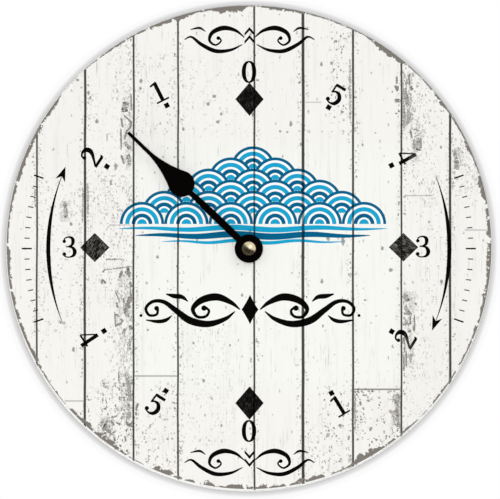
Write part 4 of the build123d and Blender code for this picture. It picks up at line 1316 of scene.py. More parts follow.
class Digit(Enum):
    """The dial's numerals."""

    ZERO = 0
    ONE = 1
    TWO = 2
    THREE = 3
    FOUR = 4
    FIVE = 5


@dataclass(frozen=True)
class Glyph:
    """A numeral's drawing in pixels about its middle: straight strokes, bent strokes and round ends."""

    straight: tuple[Curve, ...] = ()
    bent: tuple[Curve, ...] = ()
    balls: tuple[tuple[float, float, float], ...] = ()


@dataclass(frozen=True)
class DialNumeral:
    """One numeral on the dial: digit, middle in pixels, clockwise tilt, dot beside it, if any, and size."""

    digit: Digit
    centre: tuple[float, float]
    tilt: float = 0.0
    dot: tuple[float, float] | None = None
    size: float = 1.0


GLYPHS: dict[Digit, Glyph] = {
    Digit.ONE: Glyph(
        straight=(
            [(0.3, 10.2, 1.65), (0.3, -9.6, 1.65)],
            [(-6.5, -9.5, 0.75), (7, -9.5, 0.75)],
            [(-5.4, 8.3, 0.8), (1.6, 9.9, 0.95)],
        ),
    ),
    Digit.TWO: Glyph(
        bent=(
            [(-5.4, 5.2, 0.8), (-4.8, 8.2, 0.8), (-1.4, 9.9, 1), (2.6, 8.6, 1.9), (4.2, 5, 2.1),
             (2.8, 0.9, 1.6), (-1, -3.6, 1.05), (-5.8, -8.8, 0.85)],
        ),
        straight=(
            [(-6.3, -9, 1.25), (6.2, -8.9, 1.3)],
            [(5.6, -9.2, 1.3), (6.8, -6.6, 0.5)],
        ),
        balls=((-4.7, 5.1, 1.6),),
    ),
    Digit.THREE: Glyph(
        bent=(
            [(-5.2, 6.2, 0.6), (-4.2, 9, 0.6), (-0.6, 10.3, 0.65), (3.1, 8.9, 1.35), (4, 5.6, 1.6),
             (2.7, 2.2, 1.15), (-1.2, 0.5, 0.5)],
            [(-1.2, 0.5, 0.5), (3.1, -0.7, 1.15), (5.2, -4.6, 1.75), (3.7, -8.6, 1.3), (-0.3, -10.1, 0.6),
             (-4.6, -9.4, 0.6), (-6, -7, 0.7)],
        ),
        straight=([(-3.4, 0.45, 0.55), (1.6, 0.35, 0.55)],),
        balls=((-4.9, 6.1, 1.55), (-5.5, -7, 1.65)),
    ),
    Digit.FOUR: Glyph(
        straight=(
            [(2.5, 10, 1.6), (2.5, -10, 1.6)],
            [(2, 9.9, 0.6), (-6.8, -4.4, 0.6)],
            [(-7.1, -4.9, 0.85), (6.4, -4.9, 0.85)],
        ),
    ),
    Digit.FIVE: Glyph(
        straight=(
            [(-4.6, 8.9, 1.3), (6, 8.9, 1.3)],
            [(-4.1, 9.8, 0.85), (-4.7, 0.2, 0.8)],
        ),
        bent=(
            [(-5, 0.6, 0.7), (-1.8, 2.6, 0.9), (2.4, 2, 1.5), (5, -2.8, 1.8), (3.2, -7.9, 1.6),
             (-0.8, -9.7, 0.85), (-4.2, -9, 0.65), (-5.6, -7.6, 0.6)],
        ),
        balls=((-4.9, -7.3, 1.8),),
    ),
}


@dataclass
class DialMarks:
    """The dial's hours to the next tide: numerals, dots beside them and the four diamonds."""

    print_face: float
    black: PrintInk = PrintInk("ink_black", ink("080706"), wear=0.6)
    steps: int = 10
    weight: float = 1.15
    dot_side: float = 4.9
    zero_outer: tuple[float, float] = (7.15, 10.9)
    zero_inner: tuple[float, float] = (3.05, 9.2)
    zero_power: float = 0.93
    zero_steps: int = 64
    diamonds: tuple[tuple[str, float, float, float, float, PrintInk], ...] = (
        ("top", 249.5, 99.2, 14.2, 16.7, PrintInk("ink_brushed_top", ink("060504"), 0.12, 0.0)),
        ("bottom", 249.5, 403.1, 14.2, 16.7, PrintInk("ink_brushed_bottom", ink("050403"), 0.11, 0.0)),
        ("left", 94.8, 247.5, 14.7, 14.6, PrintInk("ink_brushed_left", ink("0E0D0C"), 0.62, -35.0)),
        ("right", 403.5, 247.2, 14.7, 14.3, PrintInk("ink_brushed_right", ink("0E0D0B"), 0.66, 62.0)),
    )
    numerals: tuple[DialNumeral, ...] = (
        DialNumeral(Digit.ZERO, (249.0, 71.9), 0.0, None, 1.02),
        DialNumeral(Digit.ZERO, (249.0, 431.0), 0.0, None, 1.015),
        DialNumeral(Digit.THREE, (69.4, 247.1), -3, None, 0.985),
        DialNumeral(Digit.THREE, (422.9, 246.7), -2),
        DialNumeral(Digit.FIVE, (335.9, 94.9), 30.5, (328.7, 107.4), 1.01),
        DialNumeral(Digit.FOUR, (406.5, 156.8), 61, (391.5, 165.4), 0.965),
        DialNumeral(Digit.TWO, (91.4, 156.9), -56, (106.9, 166.5)),
        DialNumeral(Digit.ONE, (158.5, 92.05), -26.5, (166.8, 105.4)),
        DialNumeral(Digit.TWO, (405.3, 339.0), -58, (391.8, 331.5)),
        DialNumeral(Digit.ONE, (339.15, 405.8), -31, (331.5, 393.1), 0.99),
        DialNumeral(Digit.FIVE, (155.1, 404.7), 33.5, (165.8, 390.9), 1.02),
        DialNumeral(Digit.FOUR, (88.1, 338.2), 56.5, (104.0, 331.0)),
    )

    def draw_zero(self, stack: PlateStack, numeral: DialNumeral) -> None:
        """Draws a nought: a closed band between two slightly squared ellipses.

        A point at turn t lies at the two half axes times the cosine and sine of t, each raised to the
        same power with its sign kept.

        Args:
            stack: The plates to add to.
            numeral: The numeral's place.
        """
        turn = np.linspace(0, math.tau, self.zero_steps, endpoint=False)
        unit = np.stack([np.cos(turn), np.sin(turn)], axis=-1)
        squared = np.sign(unit) * np.abs(unit) ** self.zero_power
        rings = np.stack([squared * np.array(self.zero_outer), squared * np.array(self.zero_inner)])
        rings = rings * numeral.size
        stack.grid(PHOTO.stand(rings, numeral.centre, numeral.tilt), wrap=True)

    def draw_glyph(self, stack: PlateStack, numeral: DialNumeral) -> None:
        """Draws a numeral from its strokes and round ends."""
        glyph = GLYPHS[numeral.digit]
        heavier = np.array([1.0, 1.0, self.weight])
        for stroke in glyph.straight:
            edges = ribbon(np.asarray(stroke, dtype=float) * heavier) * numeral.size
            stack.grid(PHOTO.stand(edges, numeral.centre, numeral.tilt))
        for stroke in glyph.bent:
            edges = ribbon(curve_through(stroke, self.steps) * heavier) * numeral.size
            stack.grid(PHOTO.stand(edges, numeral.centre, numeral.tilt))
        for right, up, radius in glyph.balls:
            ball = round_outline(radius * self.weight, (right, up)) * numeral.size
            stack.outline(PHOTO.stand(ball, numeral.centre, numeral.tilt))

    def build(self, shop: Workshop) -> None:
        """Makes the numerals, the dots and the diamonds."""
        for place, numeral in enumerate(self.numerals):
            stack = PlateStack(self.print_face)
            if numeral.digit is Digit.ZERO:
                self.draw_zero(stack, numeral)
            else:
                self.draw_glyph(stack, numeral)
            if numeral.dot:
                half = self.dot_side / 2
                corners = np.array([[-half, -half], [half, -half], [half, half], [-half, half]])
                stack.outline(PHOTO.stand(corners, numeral.dot, numeral.tilt))
            make_piece(f"numeral_{numeral.digit.value}_{place + 1}", stack, self.black, shop)
        for name, column, row, wide, tall, finish in self.diamonds:
            stack = PlateStack(self.print_face)
            corners = np.array([[0, -tall], [wide, 0], [0, tall], [-wide, 0]])
            stack.outline(PHOTO.stand(corners, (column, row)))
            make_piece(f"diamond_{name}", stack, finish, shop)


@dataclass
class PaintScuffs:
    """The worn paint's single marks: thin dark scuffs and broad pale smudges, each in its own place.

    A mark is given by its start's column and row, its end's column and row and its half width.
    """

    print_face: float
    seed: int = 7
    step: float = 0.4
    least_steps: int = 9
    shake: float = 0.22
    uneven: tuple[float, float] = (0.62, 1.3)
    least_half: float = 0.05
    thickness: float = 0.000008
    layer_rise: float = 0.000001
    dark: RubbedPaint = RubbedPaint("rubbed_paint_dark")
    pale: RubbedPaint = RubbedPaint("rubbed_paint_pale", ink("94908A"), ink("C4C1BC"), 0.42)
    scuffs: tuple[tuple[float, float, float, float, float], ...] = (
        (131.1, 95, 131.3, 110, 0.8), (124.6, 115.8, 128, 119, 0.9), (128, 119, 131.4, 122.5, 1),
        (131.4, 122.5, 130.4, 127.5, 1.1), (130.4, 127.5, 127, 130.8, 1), (127, 130.8, 124.6, 138.5, 1),
        (121.3, 119, 122.6, 126.5, 1.1), (120.9, 129.5, 121.2, 149.5, 0.9), (121.6, 156, 123.6, 163, 1.2),
        (106.5, 259.3, 111, 259.3, 0.7), (112.6, 259.3, 116.4, 259.1, 0.8),
        (116.4, 259.1, 122.6, 259.3, 0.4), (102.8, 272, 105.2, 269.6, 0.8),
        (105.2, 269.6, 111.4, 269.2, 0.5), (112, 269, 131, 266.4, 0.5), (121.4, 272.6, 119.9, 276.6, 1.5),
        (128, 269.4, 129, 275, 2), (125.3, 272, 125.6, 273, 0.7), (102.6, 280, 105.2, 282.6, 1.1),
        (130.2, 283, 131.3, 286, 1.2), (130.3, 287, 130.4, 293, 0.7), (130.9, 294, 131, 301, 1),
        (128.8, 298.5, 127.3, 308.5, 1.8), (129.6, 306, 129.8, 307.4, 1), (123.7, 299, 123.9, 302.6, 0.9),
        (128, 314.2, 128.5, 316.2, 0.8), (116.6, 303.2, 117.7, 307, 1), (115.8, 292.5, 119.8, 301.5, 0.7),
        (114.7, 312.2, 115.5, 325, 0.8), (116, 314.4, 119, 316.4, 0.9), (116, 325.6, 120.5, 323.8, 1.2),
        (120.5, 323.6, 123, 320.6, 0.8), (120.3, 319, 121.8, 320, 0.7), (122, 334, 124.5, 328.6, 0.6),
        (125.1, 329, 124.1, 335, 0.6), (130.4, 326.4, 131, 328.4, 1.5), (410.3, 316.4, 410.4, 323.6, 1),
        (403.6, 324.5, 409.8, 324.1, 1.1), (404.6, 313.8, 409.6, 314.2, 0.8), (414.4, 315, 414.6, 329, 0.8),
        (414, 327, 413.9, 330, 1.2), (409, 331.4, 410.4, 330.6, 1.2), (403.6, 338, 403.8, 343.4, 1.1),
        (404.3, 346.8, 404.6, 351.8, 0.7), (403.8, 356, 403.9, 370, 0.9), (406.2, 352, 406.4, 366, 0.9),
        (411.6, 314, 408.6, 310.6, 0.8), (415.6, 303.6, 416, 304.6, 0.8), (396.8, 77.5, 396.9, 83, 1.1),
        (396.6, 87.2, 397.2, 89.4, 2), (396.2, 100.6, 398.4, 100.8, 1.8), (398.6, 110.6, 399, 111.6, 0.9),
        (396, 113.4, 396.8, 113.8, 0.8), (409.3, 74, 409.4, 84, 0.9), (411.2, 87.6, 411.8, 89, 1.5),
        (410.4, 130.4, 411.6, 137, 1.1), (420.8, 138.5, 421, 148, 0.8), (416.5, 149, 420.8, 150.2, 0.7),
        (414, 129.4, 418.6, 130.4, 0.5), (414.4, 136.6, 418.8, 135, 0.5), (354.4, 391.9, 355.4, 392, 0.9),
        (358, 391, 358.6, 392.6, 0.9), (361.2, 391.2, 361.6, 391.4, 0.6), (368.2, 391.3, 369, 391.6, 0.8),
        (372, 391.2, 372.8, 391.4, 0.9), (356.2, 394, 357, 395.2, 0.8), (363.6, 395.4, 366.4, 395.2, 0.8),
        (367.4, 400.4, 369.2, 401, 0.9), (360.4, 402, 360.6, 405, 0.8), (363.2, 408, 363.8, 409.2, 0.8),
        (363.5, 413.4, 363.8, 414.6, 0.6), (395, 400.6, 395.6, 403, 0.8), (118.6, 372.5, 118.9, 381, 0.8),
        (119, 388, 119.3, 390, 0.8), (119.4, 397.2, 119.6, 399, 1), (123.5, 383.4, 123.9, 385.6, 1),
        (124.2, 399, 124.6, 401, 0.8), (127, 424, 131, 425.6, 1.5), (103.2, 428, 107.4, 420.8, 0.9),
        (105.4, 428.8, 110, 432.2, 0.9), (111.2, 420.8, 113.8, 425, 1), (117, 422.8, 119.6, 424.2, 1.1),
        (114, 417, 117, 415.4, 0.8), (110, 435, 116.2, 430.8, 0.6), (114.4, 438.2, 114.9, 440.6, 1.1),
        (125.2, 437, 125.8, 440.6, 1), (120.2, 445.4, 120.9, 446.2, 1), (137.6, 404.2, 136.2, 409.4, 1.2),
        (136, 412.8, 136.4, 413.8, 0.9),
    )
    smudges: tuple[tuple[float, float, float, float, float], ...] = (
        (124.8, 108.6, 125.8, 104.8, 3.4), (125.4, 143.6, 130, 148.8, 1.9),
        (128.4, 156.4, 129.6, 163.4, 2.2), (129.4, 112.6, 130.2, 116, 1.2), (405.2, 296, 407.2, 299.6, 2.6),
        (405.6, 307.6, 408.2, 312.6, 2), (404, 318, 408.4, 325, 1.2), (409.4, 355, 412, 355.2, 1.9),
        (410.6, 356.6, 410, 361.8, 1.4), (408.4, 109.6, 408.3, 122.4, 1.7), (404, 106, 404.2, 127.4, 1.5),
        (405, 90, 407.4, 105, 2.2), (402.9, 84, 403.4, 104, 0.9), (418.6, 140, 418.4, 148.6, 2.2),
        (414.2, 141, 414.8, 147.6, 1.7), (124.6, 304.6, 126.4, 314.6, 2.2), (131, 338.6, 128.6, 345, 1.9),
        (396.2, 399, 398, 425, 2), (390.6, 411.6, 391.2, 411.8, 1.7), (355, 396, 354.6, 430, 1.3),
        (126.6, 374, 130.6, 400, 2), (128.6, 404, 129.4, 418, 1.6), (104.6, 425, 107.6, 431, 1.8),
        (455, 152, 457.4, 168, 2.2), (65, 203, 66, 216, 2), (60, 322, 64, 323, 1.6),
        (35, 190, 35.6, 206, 1.2), (87.4, 184, 87.8, 214, 1.2), (83, 190, 82.4, 222, 1),
        (349.8, 60, 350.4, 120, 1.2),
    )

    def ragged(self, mark: tuple[float, ...], chance: np.random.Generator) -> np.ndarray:
        """A mark's ragged outline as a ribbon.

        The mark's middle line reaches half a width past both places. At share t of it the half width is
        the given one times the fourth root of 1 - |2t - 1| cubed, so that the ends are round, times an
        uneven factor drawn at every step; the line itself is shaken by a part of a pixel.

        Args:
            mark: The start's column and row, the end's column and row, and the half width.
            chance: The source of the unevenness.

        Returns:
            The ribbon's two edges, in pixels right of and above the dial's middle.
        """
        start, end, half = np.array(mark[0:2]), np.array(mark[2:4]), mark[4]
        along = (end - start) / np.linalg.norm(end - start)
        start, end = start - along * half, end + along * half
        steps = max(self.least_steps, round(float(np.linalg.norm(end - start)) / self.step))
        share = np.linspace(0.0, 1.0, steps)
        shaken = chance.uniform(-self.shake, self.shake, (steps, 2))
        middle = start + (end - start) * share[:, None] + shaken
        uneven = chance.uniform(*self.uneven, steps)
        width = half * (1.0 - np.abs(2 * share - 1) ** 3) ** 0.25 * uneven
        width = np.maximum(width, self.least_half)
        middle = (middle - np.array([PHOTO.middle_x, PHOTO.middle_y])) * np.array([1.0, -1.0])
        return ribbon(np.column_stack([middle, width]))

    def build(self, shop: Workshop) -> None:
        """Makes the smudges and then the scuffs, each kind as one piece."""
        chance = np.random.default_rng(self.seed)
        centre = (PHOTO.middle_x, PHOTO.middle_y)
        for name, marks, finish in (
            ("paint_smudges", self.smudges, self.pale), ("paint_scuffs", self.scuffs, self.dark)
        ):
            stack = PlateStack(self.print_face, self.thickness, self.layer_rise, layers=4)
            for mark in marks:
                stack.grid(PHOTO.stand(self.ragged(mark, chance), centre))
            make_piece(name, stack, finish, shop)


@dataclass
class ScaleOrnament:
    """A mound of round overlapping scales in blue and white over three tapering bands.

    A scale's ring is its outer and inner radius, as shares of the scale's, and its ink. A band is its row,
    half length, greatest half width and ink.
    """

    print_face: float
    middle: float = 253.0
    base_row: float = 224.0
    radius: float = 22.2
    bottom_count: int = 6
    rows: int = 6
    ring_steps: int = 4
    turn_steps: int = 25
    band_steps: int = 120
    waves: int = 3
    wave_height: float = 1.3
    swell_power: float = 0.6
    rings: tuple[tuple[float, float, str], ...] = (
        (1.0, 0.87, "dark"), (0.87, 0.76, "white"), (0.76, 0.57, "light"), (0.57, 0.47, "white"),
        (0.47, 0.30, "dark"), (0.30, 0.22, "white"), (0.22, 0.02, "light"),
    )
    bands: tuple[tuple[float, float, float, str], ...] = (
        (228.6, 135.0, 2.7, "light"), (235.4, 118.0, 3.3, "dark"), (241.6, 92.0, 1.8, "light"),
    )
    inks: dict[str, PrintInk] = field(default_factory=lambda: {
        "dark": PrintInk("ink_deep_teal", ink("06628A")),
        "light": PrintInk("ink_light_blue", ink("1CA5D0")),
        "white": PrintInk("ink_white", ink("FDFEFE")),
    })

    def ring(self, outer: float, inner: float, bottom: bool) -> np.ndarray:
        """The part of a scale's ring that the scales in front leave bare.

        At radius r the front scale at distance d and direction f hides the turns within arccos((r² + d² -
        R²) / 2rd) of f, where R is a scale's radius. The ring runs from the first bare turn on the right
        to its mirror on the left.

        Args:
            outer: The ring's outer radius as a share of the scale's.
            inner: Its inner radius as a share.
            bottom: Whether the scale is in the bottom row, with none in front.

        Returns:
            The ring's grid of points, in pixels about the scale's middle.
        """
        share = np.linspace(outer, inner, self.ring_steps)[:, None]
        if bottom:
            first = np.zeros_like(share)
        else:
            apart = math.hypot(1.0, 0.5)
            beside = np.arccos(np.clip((share**2 + apart**2 - 1) / (2 * share * apart), -1, 1))
            below = np.arccos(np.clip(share / 2, -1, 1))
            first = np.maximum(beside - math.atan(0.5), below - math.pi / 2)
        turn = first + (math.pi - 2 * first) * np.linspace(0, 1, self.turn_steps)[None, :]
        reach = share * self.radius
        return np.stack([reach * np.cos(turn), reach * np.sin(turn)], axis=-1)

    def band(self, half_length: float, half_width: float) -> np.ndarray:
        """A gently waving band that tapers to both ends.

        Its middle line rises and falls as a sine of whole turns. Both that swing and the half width follow
        the sine of half a turn raised to the swell's power.

        Args:
            half_length: Half the band's length in pixels.
            half_width: Its greatest half width in pixels.

        Returns:
            The band's two edges.
        """
        share = np.linspace(0.002, 0.998, self.band_steps)
        swell = np.sin(math.pi * share) ** self.swell_power
        line = np.column_stack([
            (2 * share - 1) * half_length,
            self.wave_height * np.sin(math.tau * self.waves * share) * swell,
            half_width * swell,
        ])
        return ribbon(line)

    def build(self, shop: Workshop) -> None:
        """Makes the ornament, a piece for each colour."""
        stacks = {name: PlateStack(self.print_face, layers=1) for name in self.inks}
        for row in range(self.rows):
            count = self.bottom_count - row
            for place in range(count):
                column = self.middle + (2 * place - count + 1) * self.radius
                centre = (column, self.base_row - row * self.radius / 2)
                for outer, inner, name in self.rings:
                    stacks[name].grid(PHOTO.stand(self.ring(outer, inner, row == 0), centre))
        for band_row, half_length, half_width, name in self.bands:
            stacks[name].grid(PHOTO.stand(self.band(half_length, half_width), (self.middle, band_row)))
        for name, stack in stacks.items():
            make_piece(f"scale_ornament_{name}", stack, self.inks[name], shop)


@dataclass
class PenFlourishes:
    """Pen strokes on the dial: a scroll under the ornament, swashes at the noughts, arrows at the sides."""

    print_face: float
    black: PrintInk = PrintInk("pen_black", ink("080706"))
    steps: int = 12
    scroll_weight: float = 1.4
    swash_weight: float = 1.2
    scroll_centre: tuple[float, float] = (250.0, 309.5)
    upper_centre: tuple[float, float] = (249.5, 38.5)
    lower_centre: tuple[float, float] = (249.5, 461.5)
    arrow_radius: float = 200.5
    tick_radius: float = 222.0
    arrow_span: float = 21.0
    arrow_steps: int = 60
    arrow_tip: float = 0.35
    arrow_swell: float = 1.75
    tick_angle: float = 2.7
    ticks_each_way: int = 7
    long_tick: tuple[float, float] = (5.0, 0.75)
    short_tick: tuple[float, float] = (2.6, 0.5)
    star_power: float = 2.2
    barb: tuple[tuple[float, float], ...] = ((11, 0), (-4, 5.2), (0.5, 0), (-4, -5.2))
    scroll_strokes: tuple[Curve, ...] = (
        [(10, 0, 0.4), (19, 7, 1.6), (33, 12.5, 2.6), (48, 9.5, 2.4), (57, 1, 1.6), (53, -7, 1.1),
         (44.5, -7, 1), (41, -1.5, 0.9), (45, 2.5, 0.9)],
        [(15, -2, 0.4), (25, -9.5, 1.5), (42, -14.5, 2.3), (60, -11, 2.6), (74, -1, 2), (86, 7.5, 1.5),
         (97, 8, 1.2), (104, 1.5, 1.1), (101, -5.5, 1), (93.5, -5, 0.9), (92, 0.5, 0.9)],
        [(62, 8, 0.3), (68, 12.5, 1.5), (76, 13.5, 1.6), (84, 15.5, 0.4)],
        [(78, -6, 0.3), (84, -10.5, 1.3), (92, -12, 1.3), (104, -10.5, 0.4)],
    )
    scroll_balls: tuple[tuple[float, float, float], ...] = ((46, 1.4, 2.7), (93.4, 1.2, 2.4), (109, -6, 1.5))
    swash_strokes: tuple[Curve, ...] = (
        [(5, 1, 0.35), (14, 8, 1.3), (26, 10.5, 2), (37, 6, 1.7), (40, -2, 1.1), (34, -6.5, 0.8),
         (28.5, -2.5, 0.7), (31, 1.5, 0.7)],
        [(7, -6, 0.35), (19, -11.5, 1.2), (34, -12.5, 1.7), (48, -6, 1.5), (58, 1.5, 0.9), (65, -1, 0.4)],
        [(44, 7, 0.3), (50, 10.5, 1), (59, 9, 0.35)],
    )
    swash_balls: tuple[tuple[float, float, float], ...] = ((31.2, 0.4, 1.9),)

    def draw_pair(
        self, stack: PlateStack, strokes: tuple[Curve, ...], balls: tuple, centre: tuple, weight: float
    ) -> None:
        """Draws strokes and balls on the right of a centre, and their mirror on its left.

        Args:
            stack: The plates to add to.
            strokes: The strokes on the right, in pixels from the centre.
            balls: The balls on the right: right, up and radius.
            centre: The centre's column and row.
            weight: What the strokes' widths are multiplied by.
        """
        for stroke in strokes:
            line = curve_through(stroke, self.steps) * np.array([1.0, 1.0, weight])
            for side in (line, mirror(line)):
                stack.grid(PHOTO.stand(ribbon(side), centre))
        for right, up, radius in balls:
            for sign in (1.0, -1.0):
                stack.outline(PHOTO.stand(round_outline(radius, (sign * right, up)), centre))

    def lozenge(self, stack: PlateStack, centre: tuple[float, float], wide: float, tall: float) -> None:
        """Draws a lozenge whose four sides bow inwards, as a pen's star does."""
        turn = np.linspace(0, math.tau, 48, endpoint=False)
        unit = np.stack([np.cos(turn), np.sin(turn)], axis=-1)
        star = np.sign(unit) * np.abs(unit) ** self.star_power * np.array([wide, tall])
        stack.outline(PHOTO.stand(star, centre))

    def chevron(self, stack: PlateStack, centre: tuple[float, float], point_up: bool) -> None:
        """Draws a small chevron that points up or down."""
        sign = 1.0 if point_up else -1.0
        shape = np.array([[0, 4.5], [-5.0, -1.5], [-5.0, -4.5], [0, 1.0], [5.0, -4.5], [5.0, -1.5]])
        if not point_up:
            shape = shape[::-1]
        stack.outline(PHOTO.stand(shape * np.array([1.0, sign]), centre))

    def side_arrow(self, stack: PlateStack, on_left: bool, rising: bool) -> None:
        """Draws an arrow bent round the dial, swelling at its middle, and a row of ticks outside it.

        The arrow's middle line lies at one radius, its turn even along it. Its half width is the tip's plus
        the swell times the sine of half a turn raised to 1.5. The head is a small barbed point at its end.
        A tick is its half length and half width, and the middle and the outermost ones are long.

        Args:
            stack: The plates to add to.
            on_left: Whether it stands on the dial's left.
            rising: Whether it points up.
        """
        middle = math.pi if on_left else 0.0
        way = (-1.0 if rising else 1.0) * (1.0 if on_left else -1.0)
        span = math.radians(self.arrow_span)
        share = np.linspace(0, 1, self.arrow_steps)
        turn = middle + way * span * (2 * share - 1)
        line = np.column_stack([
            self.arrow_radius * np.cos(turn),
            self.arrow_radius * np.sin(turn),
            self.arrow_tip + self.arrow_swell * np.sin(math.pi * share) ** 1.5,
        ])
        centre = (PHOTO.middle_x, PHOTO.middle_y)
        stack.grid(PHOTO.stand(ribbon(line), centre))
        tip = line[-1, :2]
        ahead = way * np.array([-math.sin(turn[-1]), math.cos(turn[-1])])
        left = np.array([-ahead[1], ahead[0]])
        steps = np.array(self.barb)
        stack.outline(PHOTO.stand(tip + steps[:, :1] * ahead + steps[:, 1:] * left, centre))
        for number in range(-self.ticks_each_way, self.ticks_each_way + 1):
            angle = middle + math.radians(self.tick_angle * number)
            out = np.array([math.cos(angle), math.sin(angle)])
            half, weight = self.short_tick if number % self.ticks_each_way else self.long_tick
            ends = np.array([out * (self.tick_radius - half), out * (self.tick_radius + half)])
            stack.grid(PHOTO.stand(ribbon(np.column_stack([ends, np.full((2, 1), weight)])), centre))

    def build(self, shop: Workshop) -> None:
        """Makes the scroll, the two swashes and the two arrows."""
        stack = PlateStack(self.print_face)
        self.draw_pair(stack, self.scroll_strokes, self.scroll_balls, self.scroll_centre, self.scroll_weight)
        self.lozenge(stack, self.scroll_centre, 8.5, 15.0)
        make_piece("divider_scroll", stack, self.black, shop)
        for name, centre, up in (
            ("upper_swash", self.upper_centre, True), ("lower_swash", self.lower_centre, False)
        ):
            stack = PlateStack(self.print_face)
            self.draw_pair(stack, self.swash_strokes, self.swash_balls, centre, self.swash_weight)
            self.chevron(stack, (centre[0], centre[1] - 7.0), up)
            self.chevron(stack, (centre[0], centre[1] + 1.0), up)
            make_piece(name, stack, self.black, shop)
        for name, on_left, rising in (("rising_arrow", True, True), ("falling_arrow", False, False)):
            stack = PlateStack(self.print_face)
            self.side_arrow(stack, on_left, rising)
            make_piece(name, stack, self.black, shop)


@dataclass
class DialFace:
    """The board and its printed sheet."""

    board: BoardLacquer = BoardLacquer("board_lacquer")
    sheet: PrintedPlanks = PrintedPlanks("printed_planks")

    def build(self, shop: Workshop) -> float:
        """Dresses the board and the sheet.

        Args:
            shop: The workshop that makes the materials.

        Returns:
            How far the print's face stands in front of the wall.
        """
        dress("dial_board", self.board, shop)
        dress("dial_print", self.sheet, shop)
        low, _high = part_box("dial_print")
        return -low.y


@dataclass
class HandSet:
    """The hand, its collet and cap, and the fixing through the dial."""

    hand: HandPaint = HandPaint("hand_enamel")
    cap: TurnedBrass = TurnedBrass(
        "cap_pale_brass", ink("F0DFBF"), ink("D0C198"), rings=7000.0, rough=0.3, depth=0.000003, lean=0.2
    )
    brass: TurnedBrass = TurnedBrass("turned_brass")
    rubber: SinteredBlock = SinteredBlock("gasket_rubber", ink("1A1A1A"), ink("262626"), 0.8, 2600.0)

    def build(self, shop: Workshop) -> None:
        """Dresses the hand and what holds it."""
        dress("tide_hand", self.hand, shop)
        dress("cap_nut", self.cap, shop)
        for node in ("hand_collet", "centre_arbor", "bushing", "bushing_nut", "nut_washer"):
            dress(node, self.brass, shop)
        dress("gasket", self.rubber, shop)


@dataclass
class Movement:
    """The case, its cover and knob, the wheels and the stepping motor inside: each finish and its nodes."""

    finishes: tuple[tuple[Finish, tuple[str, ...]], ...] = (
        (MouldedPlastic("case_plastic", dust=0.35), ("movement_case", "rear_cover")),
        (MouldedPlastic("knob_plastic", ink("55565A"), ink("5F6064"), 4200, rough=0.4), ("setting_knob",)),
        (
            MouldedPlastic("plate_plastic", ink("DDD8C8"), ink("E6E2D5"), 3600, 0.00001, 0.42),
            ("train_plate",),
        ),
        (
            MouldedPlastic("wheel_plastic", ink("E8E5DA"), ink("F0EEE6"), 3000, 0.000006, 0.36),
            (
                "first_wheel", "second_wheel", "third_wheel", "tide_wheel", "setting_wheel",
                "setting_pinion", "rotor_hub",
            ),
        ),
        (
            MouldedPlastic("bobbin_plastic", ink("D9D2BE"), ink("E2DCCB"), 3600, 0.00001, 0.4),
            ("coil_bobbin",),
        ),
        (
            PlatedSteel("plated_steel"),
            (
                "positive_contact", "negative_contact", "quartz_crystal", "motor_screws", "board_screws",
                "clutch_spring",
            ),
        ),
        (PlatedSteel("hanger_steel", ink("C9C7BE"), ink("98968C"), 2600, 0.34), ("hanger_plate",)),
        (PlatedSteel("pin_steel", ink("C2C3C5"), ink("9C9DA0"), 8000, 0.2), ("train_pins",)),
        (StampedSheets("core_steel"), ("coil_core", "stator")),
        (SinteredBlock("magnet", ink("46464A"), ink("6B6B70"), 0.5, 5200, 0.5), ("rotor_magnet",)),
        (WoundCopper("copper_winding"), ("coil_winding",)),
        (CircuitLaminate("circuit_laminate"), ("circuit_board",)),
        (SinteredBlock("chip_resin", ink("121213"), ink("1F1F21"), 0.28, 1200), ("chip_cover",)),
    )

    def build(self, shop: Workshop) -> None:
        """Dresses every node of the movement."""
        for finish, nodes in self.finishes:
            for node in nodes:
                dress(node, finish, shop)


@dataclass
class Cell:
    """The round cell: can, filling, sleeve and base."""

    steel: PlatedSteel = PlatedSteel("cell_steel", ink("D6D7D9"), ink("B4B5B8"), 4200.0, 0.22)
    filling: SinteredBlock = SinteredBlock("cell_filling", ink("2B2A29"), ink("4A4845"), 0.85, 2400.0)

    def build(self, shop: Workshop) -> None:
        """Dresses the cell; the sleeve's bands follow its own ends."""
        low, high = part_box("battery_sleeve")
        sleeve = ShrunkSleeve("cell_sleeve", low.x, high.x)
        dress("battery_can", self.steel, shop)
        dress("battery_base", self.steel, shop)
        dress("battery_core", self.filling, shop)
        dress("battery_sleeve", sleeve, shop)


@dataclass(frozen=True)
class Lamp:
    """A square soft lamp that faces the clock: place, side, watts and whether reflections show it."""

    name: str
    place: tuple[float, float, float]
    side: float
    power: float
    shines: bool = True

    def hang(self) -> None:
        """Adds the lamp to the scene, turned to the clock's origin."""
        data = bpy.data.lights.new(self.name, "AREA")
        data.shape = "SQUARE"
        data.size = self.side
        data.energy = self.power
        lamp = bpy.data.objects.new(self.name, data)
        bpy.context.scene.collection.objects.link(lamp)
        lamp.location = self.place
        lamp.rotation_euler = (-Vector(self.place)).to_track_quat("-Z", "Y").to_euler()
        lamp.visible_glossy = self.shines


